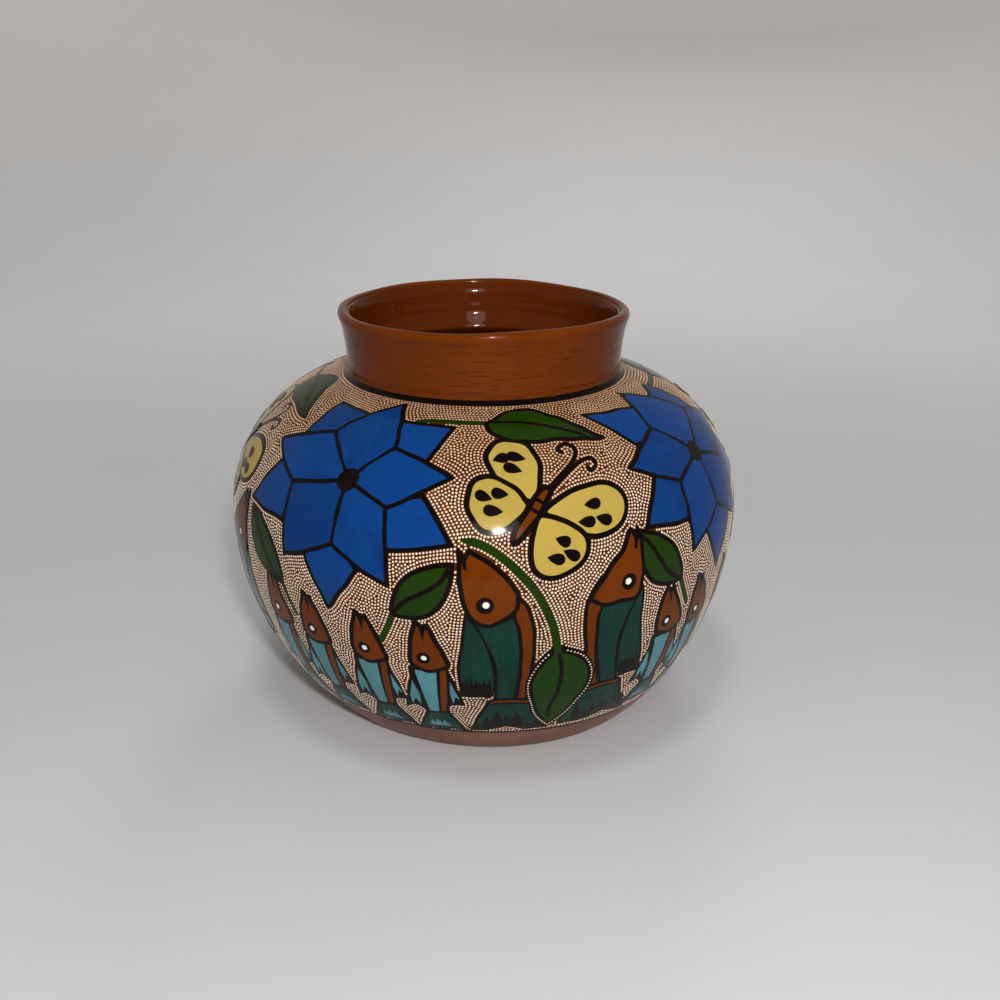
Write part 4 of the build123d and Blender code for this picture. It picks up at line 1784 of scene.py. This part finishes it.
def dotted(name, form, paint, dots, sector, finish):
    """One quarter's dots as a piece."""
    rng = np.random.default_rng((paint.seed, 50 + sector))
    count = len(dots)
    angle, climb, lift = dots.T
    points, facing = form.on_wall(angle, climb, lift)
    wide = paint.dot_width / 2 * (1 + 0.09 * rng.normal(size=(count, 2)).clip(-2, 2))
    wide *= np.where(lift > 0, STRING_SIZE, 1.0)[:, None]
    size = np.column_stack((wide, paint.dot_height * (1 + 0.12 * rng.normal(size=count).clip(-2, 2))))
    piece = new_piece(name, points)
    store(piece.data, "facing", facing)
    store(piece.data, "size", size)
    grown(piece, slip_dots(), Sides=DOT_SIDES, Height=1.0, Sink=DOT_SINK, Finish=finish)
    mesh = piece.data
    number = np.repeat(np.arange(count), len(mesh.vertices) // count)
    tone = np.column_stack((climb, angle * form.belly, 13.7 * np.arange(count) % 97))
    store(mesh, "brush", tone[number])
    x, y, _ = mesh_points(mesh).T
    turn = np.arctan2(x, -y) - math.radians(QUARTER * (sector - 0.5))
    across = turn % (2 * math.pi) / math.radians(QUARTER)
    across = np.where(across > 2, across - 4, across)
    places = np.column_stack((np.clip(0.02 + 0.96 * across, 0, 1), climb[number] / form.neck_run))
    bake_map(mesh, places)
    settled(piece, "painted_body")


# Operators


class OLLA_OT_walls(Operator):
    """Turn the two halves of the body wall"""

    bl_idname = "olla.walls"
    bl_label = "Body walls"

    def execute(self, context):
        paint, form = settings_of(context)
        outline = wall_outline(form)
        inner = inner_glaze(paint, form)
        radius, height, _, _ = form.ring(np.linspace(0.0, form.neck_run, 400), form.wall * 0.5)
        for name, start, node in (("front_wall", -90.0, "front_half"), ("back_wall", 90.0, "back_half")):
            piece = turned(name, form, outline, ground_finish(paint), WALL_STEPS, start, 180.0)
            line_inside(piece, form, inner, lambda z: np.interp(z, height, radius), form.neck_foot)
            settled(piece, "painted_body", node)
        return {"FINISHED"}


class OLLA_OT_base(Operator):
    """Turn the base disc"""

    bl_idname = "olla.base"
    bl_label = "Base disc"

    def execute(self, context):
        paint, form = settings_of(context)
        piece = turned("foot_disc", form, disc_outline(form), bare_finish(paint), DISC_STEPS)

        def top_face(height):
            return np.where(height > form.floor - 0.3, form.base, 0.0)

        line_inside(piece, form, inner_glaze(paint, form), top_face, form.rim)
        settled(piece, "bare_clay", "base_disc")
        return {"FINISHED"}


class OLLA_OT_inside(Operator):
    """Lay the coil and the two strips that close the joints inside"""

    bl_idname = "olla.inside"
    bl_label = "Inside joints"

    def execute(self, context):
        paint, form = settings_of(context)
        inner = inner_glaze(paint, form)
        coil = turned("foot_coil", form, foot_coil_outline(form), inner, WALL_STEPS)
        settled(coil, "inner_glaze", "base_joint_coil")
        half = STRIP_HIGH.y / MM
        low = form.climb_at(STRIP_LOW.z / MM) + 2.5
        high = form.climb_at(STRIP_HIGH.z / MM) - 1.5
        across = np.linspace(-1, 1, 13)
        along = np.linspace(low, high, 90)
        for name, side, node in (
            ("right_strip", 90.0, "right_seam_strip"),
            ("left_strip", -90.0, "left_seam_strip"),
        ):
            self.strip(name, form, side, half, across, along, inner, node)
        return {"FINISHED"}

    def strip(self, name, form, side, half, across, along, inner, node):
        """A strip pressed over an upright seam, at an angle in degrees."""
        points = []
        for climb in along:
            ends = min(1.0, (climb - along[0]) / STRIP_TAPER, (along[-1] - climb) / STRIP_TAPER)
            press = 1 + 0.12 * math.sin(climb / 4.7) + 0.08 * math.sin(climb / 2.1 + 1.0)
            for face in (1, -1):
                for share in across:
                    bulge = STRIP_SWELL * press * math.sqrt(max(0.0, 1 - share**2))
                    swell = bulge * math.sqrt(max(0.0, ends))
                    sink = form.wall + (swell - 0.25 if face > 0 else -0.5)
                    radius, height, _, _ = form.ring(climb, sink)
                    angle = math.radians(side) + share * half * (0.75 + 0.25 * ends) / radius
                    points.append((radius * math.sin(angle), -radius * math.cos(angle), float(height)))
        width = len(across)
        ring = [*range(width), *range(2 * width - 1, width - 1, -1)]
        faces = bands(ring, len(along), 2 * width)
        last = (len(along) - 1) * 2 * width
        faces.append(tuple(ring))
        faces.append(tuple(last + index for index in ring))
        piece = new_piece(name, np.array(points) * MM, (), faces)
        piece.data.materials.append(inner)
        settled(faired(shaped_by_hand(piece, form), STRIP_CREASE), "inner_glaze", node)


class OLLA_OT_neck(Operator):
    """Turn the neck's collar, its painted coil and the lip"""

    bl_idname = "olla.neck"
    bl_label = "Neck"

    def execute(self, context):
        paint, form = settings_of(context)
        inner = inner_glaze(paint, form)
        glaze = wiped_finish("neck glaze", paint.neck, 0.8, 0.36, 1.0, 0.07)
        ink = line_ink(paint)

        def middle(height):
            return form.neck_at(height) - 0.7 * form.neck_wall

        for name, outline, finish, node in (
            ("collar", collar_outline(form), glaze, "neck_collar"),
            ("neck_coil", neck_coil_outline(form), ink, "neck_joint_coil"),
            ("lip", lip_outline(form), glaze, "rim_lip"),
        ):
            piece = turned(name, form, outline, finish)
            if finish is glaze:
                line_inside(piece, form, inner, middle, form.rim - 0.7)
            settled(piece, "neck_glaze", node)
        return {"FINISHED"}


class OLLA_OT_flowers(Operator):
    """Paint the blue flowers"""

    bl_idname = "olla.flowers"
    bl_label = "Flowers"

    def execute(self, context):
        return paint_families(context, "flower", ("flower",))


class OLLA_OT_leaves(Operator):
    """Paint the leaves and their stems"""

    bl_idname = "olla.leaves"
    bl_label = "Leaves"

    def execute(self, context):
        return paint_families(context, "leaf", ("leaf", "hanging_leaf"))


class OLLA_OT_butterflies(Operator):
    """Paint the butterflies"""

    bl_idname = "olla.butterflies"
    bl_label = "Butterflies"

    def execute(self, context):
        return paint_families(context, "butterfly", ("butterfly",))


class OLLA_OT_big_fish(Operator):
    """Paint the pairs of big fish"""

    bl_idname = "olla.big_fish"
    bl_label = "Big fish"

    def execute(self, context):
        return paint_families(context, "big_fish", ("big_fish",))


class OLLA_OT_small_fish(Operator):
    """Paint the shoals of small fish"""

    bl_idname = "olla.small_fish"
    bl_label = "Small fish"

    def execute(self, context):
        return paint_families(context, "small_fish", ("small_fish",))


class OLLA_OT_border(Operator):
    """Paint the dark line round the foot"""

    bl_idname = "olla.border"
    bl_label = "Foot line"

    def execute(self, context):
        paint, form = settings_of(context)
        middle = form.climb_at(paint.band / MM) + 0.2
        count = 720
        angle = np.arange(count) * (2 * math.pi / count)
        wander = 0.12 * np.sin(7 * angle + 1.0) + 0.1 * np.sin(17 * angle)
        wander = wander + 0.06 * np.sin(41 * angle + 2.0)
        half = 0.5 + 0.1 * np.sin(11 * angle + 0.5) + 0.07 * np.sin(29 * angle)
        film = paint.film / MM
        rows = []
        for share, lift in ((-1.15, -0.1), (-1.0, film), (0.0, film * 1.6), (1.0, film), (1.15, -0.1)):
            rows.append(form.on_wall(angle, middle + wander + share * half, lift)[0])
        faces = bands(list(range(count)), len(rows), count)
        piece = new_piece("foot_line", np.vstack(rows), (), faces)
        piece.data.materials.append(line_ink(paint))
        smooth(piece.data)
        settled(piece, "painted_body")
        return {"FINISHED"}


class OLLA_OT_dots(Operator):
    """Set the rows of slip dots"""

    bl_idname = "olla.dots"
    bl_label = "Slip dots"

    def execute(self, context):
        paint, form = settings_of(context)
        families = {row[0] for row in LAYOUT}
        dots = rows_of_dots(form, paint, laid_out(paint, families))
        turn = math.radians(QUARTER)
        quarter = np.floor((dots[:, 0] + turn / 2) / turn).astype(int) % SECTORS
        slip = finishes(paint)["dots"]
        for sector in range(SECTORS):
            dotted(f"dots_{sector}", form, paint, dots[quarter == sector], sector, slip)
        return {"FINISHED"}


# Name, place and width in m of each lamp, the setting of its power, and whether the glaze mirrors it.
LAMPS = (
    ("overhead lamp", (-0.1, -0.39, 1.5), 0.3, "key", False),
    ("back lamp", (0.25, 1.15, 0.85), 0.5, "back", False),
    ("front lamp", (0.0525, -0.513, 0.346), 0.04, "front", True),
    ("soft lamp", (0.0535, -0.522, 0.351), 0.2, "soft", True),
)
# The place that the lamps face, and the colours of their light and of the room's.
LAMP_AIM = (0.0, 0.0, 0.07)
LAMP_LIGHT = (1.0, 0.97, 0.92)
ROOM_LIGHT = (0.94, 0.97, 1.0, 1.0)
# Reach of the flat floor, radius of its sweep up and height of the backdrop, in m, and steps round it.
FLOOR_REACH, SWEEP, BACKDROP_TOP, FLOOR_STEPS = 0.9, 1.0, 3.0, 96


class OLLA_OT_stage(Operator):
    """Set the floor, the lamps and the camera"""

    bl_idname = "olla.stage"
    bl_label = "Stage"

    def execute(self, context):
        scene = context.scene
        stage = scene.olla_stage
        scene.view_settings.view_transform = "Standard"
        self.floor(stage)
        world = bpy.data.worlds.new("studio room")
        world.use_nodes = True
        room = world.node_tree.nodes["Background"]
        room.inputs["Color"].default_value = ROOM_LIGHT
        room.inputs["Strength"].default_value = stage.fill
        scene.world = world
        for name, place, size, power, mirrored in LAMPS:
            self.lamp(name, place, size, getattr(stage, power), mirrored)
        camera = bpy.data.cameras.new("camera")
        camera.sensor_width = 36.0
        camera.lens = stage.camera_lens
        camera.shift_x = stage.camera_shift
        camera.clip_start = 0.01
        holder = bpy.data.objects.new("camera", camera)
        holder.location = (0.0, -stage.camera_distance, stage.camera_height)
        holder.rotation_euler = (math.pi / 2 - stage.camera_tilt, 0.0, 0.0)
        scene.collection.objects.link(holder)
        scene.camera = holder
        return {"FINISHED"}

    def floor(self, stage):
        """A pale round floor that sweeps up into its backdrop."""
        sweep = [(0.4, 0.0), (FLOOR_REACH, 0.0)]
        for turn in np.linspace(0.08, math.pi / 2, 16):
            sweep.append((FLOOR_REACH + SWEEP * math.sin(turn), SWEEP - SWEEP * math.cos(turn)))
        sweep.append((FLOOR_REACH + SWEEP, BACKDROP_TOP))
        count = FLOOR_STEPS
        points = [(0.0, 0.0, 0.0)]
        for radius, height in sweep:
            for turn in np.arange(count) * (2 * math.pi / count):
                points.append((radius * math.sin(turn), -radius * math.cos(turn), height))
        faces = [(0, 1 + index, 1 + (index + 1) % count) for index in range(count)]
        for row in range(len(sweep) - 1):
            base, after = 1 + row * count, 1 + (row + 1) * count
            for index in range(count):
                second = (index + 1) % count
                faces.append((base + index, after + index, after + second, base + second))
        piece = new_piece("floor", points, (), faces)
        smooth(piece.data)
        finish = Finish("pale paper")
        bench = finish.bench
        place = bench.place()
        grain = bench.noise(place, 9.0, 3.0)
        height = bench.third(place)
        away = bench.put("ShaderNodeVectorMath", {0: place}, operation="LENGTH").outputs["Value"]
        paper = bench.mix(grain, tint(stage.floor, 0.97), tint(stage.floor, 1.03))
        backdrop = tint(stage.backdrop, 1.0)
        paper = bench.mix(bench.span(height, 0.0, 0.5), paper, backdrop)
        path = bench.put("ShaderNodeLightPath").outputs
        seen = path["Is Camera Ray"]
        for ray in ("Is Glossy Ray", "Is Transmission Ray"):
            seen = bench.sum("MAXIMUM", seen, path[ray])
        glow = bench.sum("MULTIPLY", seen, bench.span(away, 0.15, 0.75, 0.0, stage.glow))
        finish.feed(Base_Color=paper, Roughness=0.6, Emission_Color=backdrop, Emission_Strength=glow)
        piece.data.materials.append(finish.material)

    def lamp(self, name, place, size, power, mirrored):
        """A round lamp that looks at the jar."""
        light = bpy.data.lights.new(name, "AREA")
        light.shape = "DISK"
        light.color = LAMP_LIGHT
        light.energy = power
        light.size = size
        holder = bpy.data.objects.new(name, light)
        holder.location = place
        holder.visible_camera = False
        holder.visible_glossy = mirrored
        facing = Vector(LAMP_AIM) - Vector(place)
        holder.rotation_euler = facing.to_track_quat("-Z", "Y").to_euler()
        bpy.context.scene.collection.objects.link(holder)


STEPS = (
    OLLA_OT_walls, OLLA_OT_base, OLLA_OT_inside, OLLA_OT_neck, OLLA_OT_flowers, OLLA_OT_leaves,
    OLLA_OT_butterflies, OLLA_OT_big_fish, OLLA_OT_small_fish, OLLA_OT_border, OLLA_OT_dots, OLLA_OT_stage,
)


class OLLA_PT_panel(Panel):
    """Lists the jar's settings and steps"""

    bl_idname = "OLLA_PT_panel"
    bl_label = "Painted olla"
    bl_space_type = "VIEW_3D"
    bl_region_type = "UI"
    bl_category = "Olla"

    def draw(self, context):
        column = self.layout.column()
        for settings in (context.scene.olla_shape, context.scene.olla_paint, context.scene.olla_stage):
            for name in settings.bl_rna.properties.keys():
                if name not in ("name", "rna_type"):
                    column.prop(settings, name)
        for step in STEPS:
            column.operator(step.bl_idname)


CLASSES = (OllaShape, OllaPaint, OllaStage, *STEPS, OLLA_PT_panel)


def register():
    for cls in CLASSES:
        bpy.utils.register_class(cls)
    bpy.types.Scene.olla_shape = PointerProperty(type=OllaShape)
    bpy.types.Scene.olla_paint = PointerProperty(type=OllaPaint)
    bpy.types.Scene.olla_stage = PointerProperty(type=OllaStage)


def unregister():
    del bpy.types.Scene.olla_stage
    del bpy.types.Scene.olla_paint
    del bpy.types.Scene.olla_shape
    for cls in reversed(CLASSES):
        bpy.utils.unregister_class(cls)


def main():
    register()
    bpy.ops.olla.walls()
    bpy.ops.olla.base()
    bpy.ops.olla.inside()
    bpy.ops.olla.neck()
    bpy.ops.olla.flowers()
    bpy.ops.olla.leaves()
    bpy.ops.olla.butterflies()
    bpy.ops.olla.big_fish()
    bpy.ops.olla.small_fish()
    bpy.ops.olla.border()
    bpy.ops.olla.dots()
    bpy.ops.olla.stage()


if __name__ == "__main__":
    main()
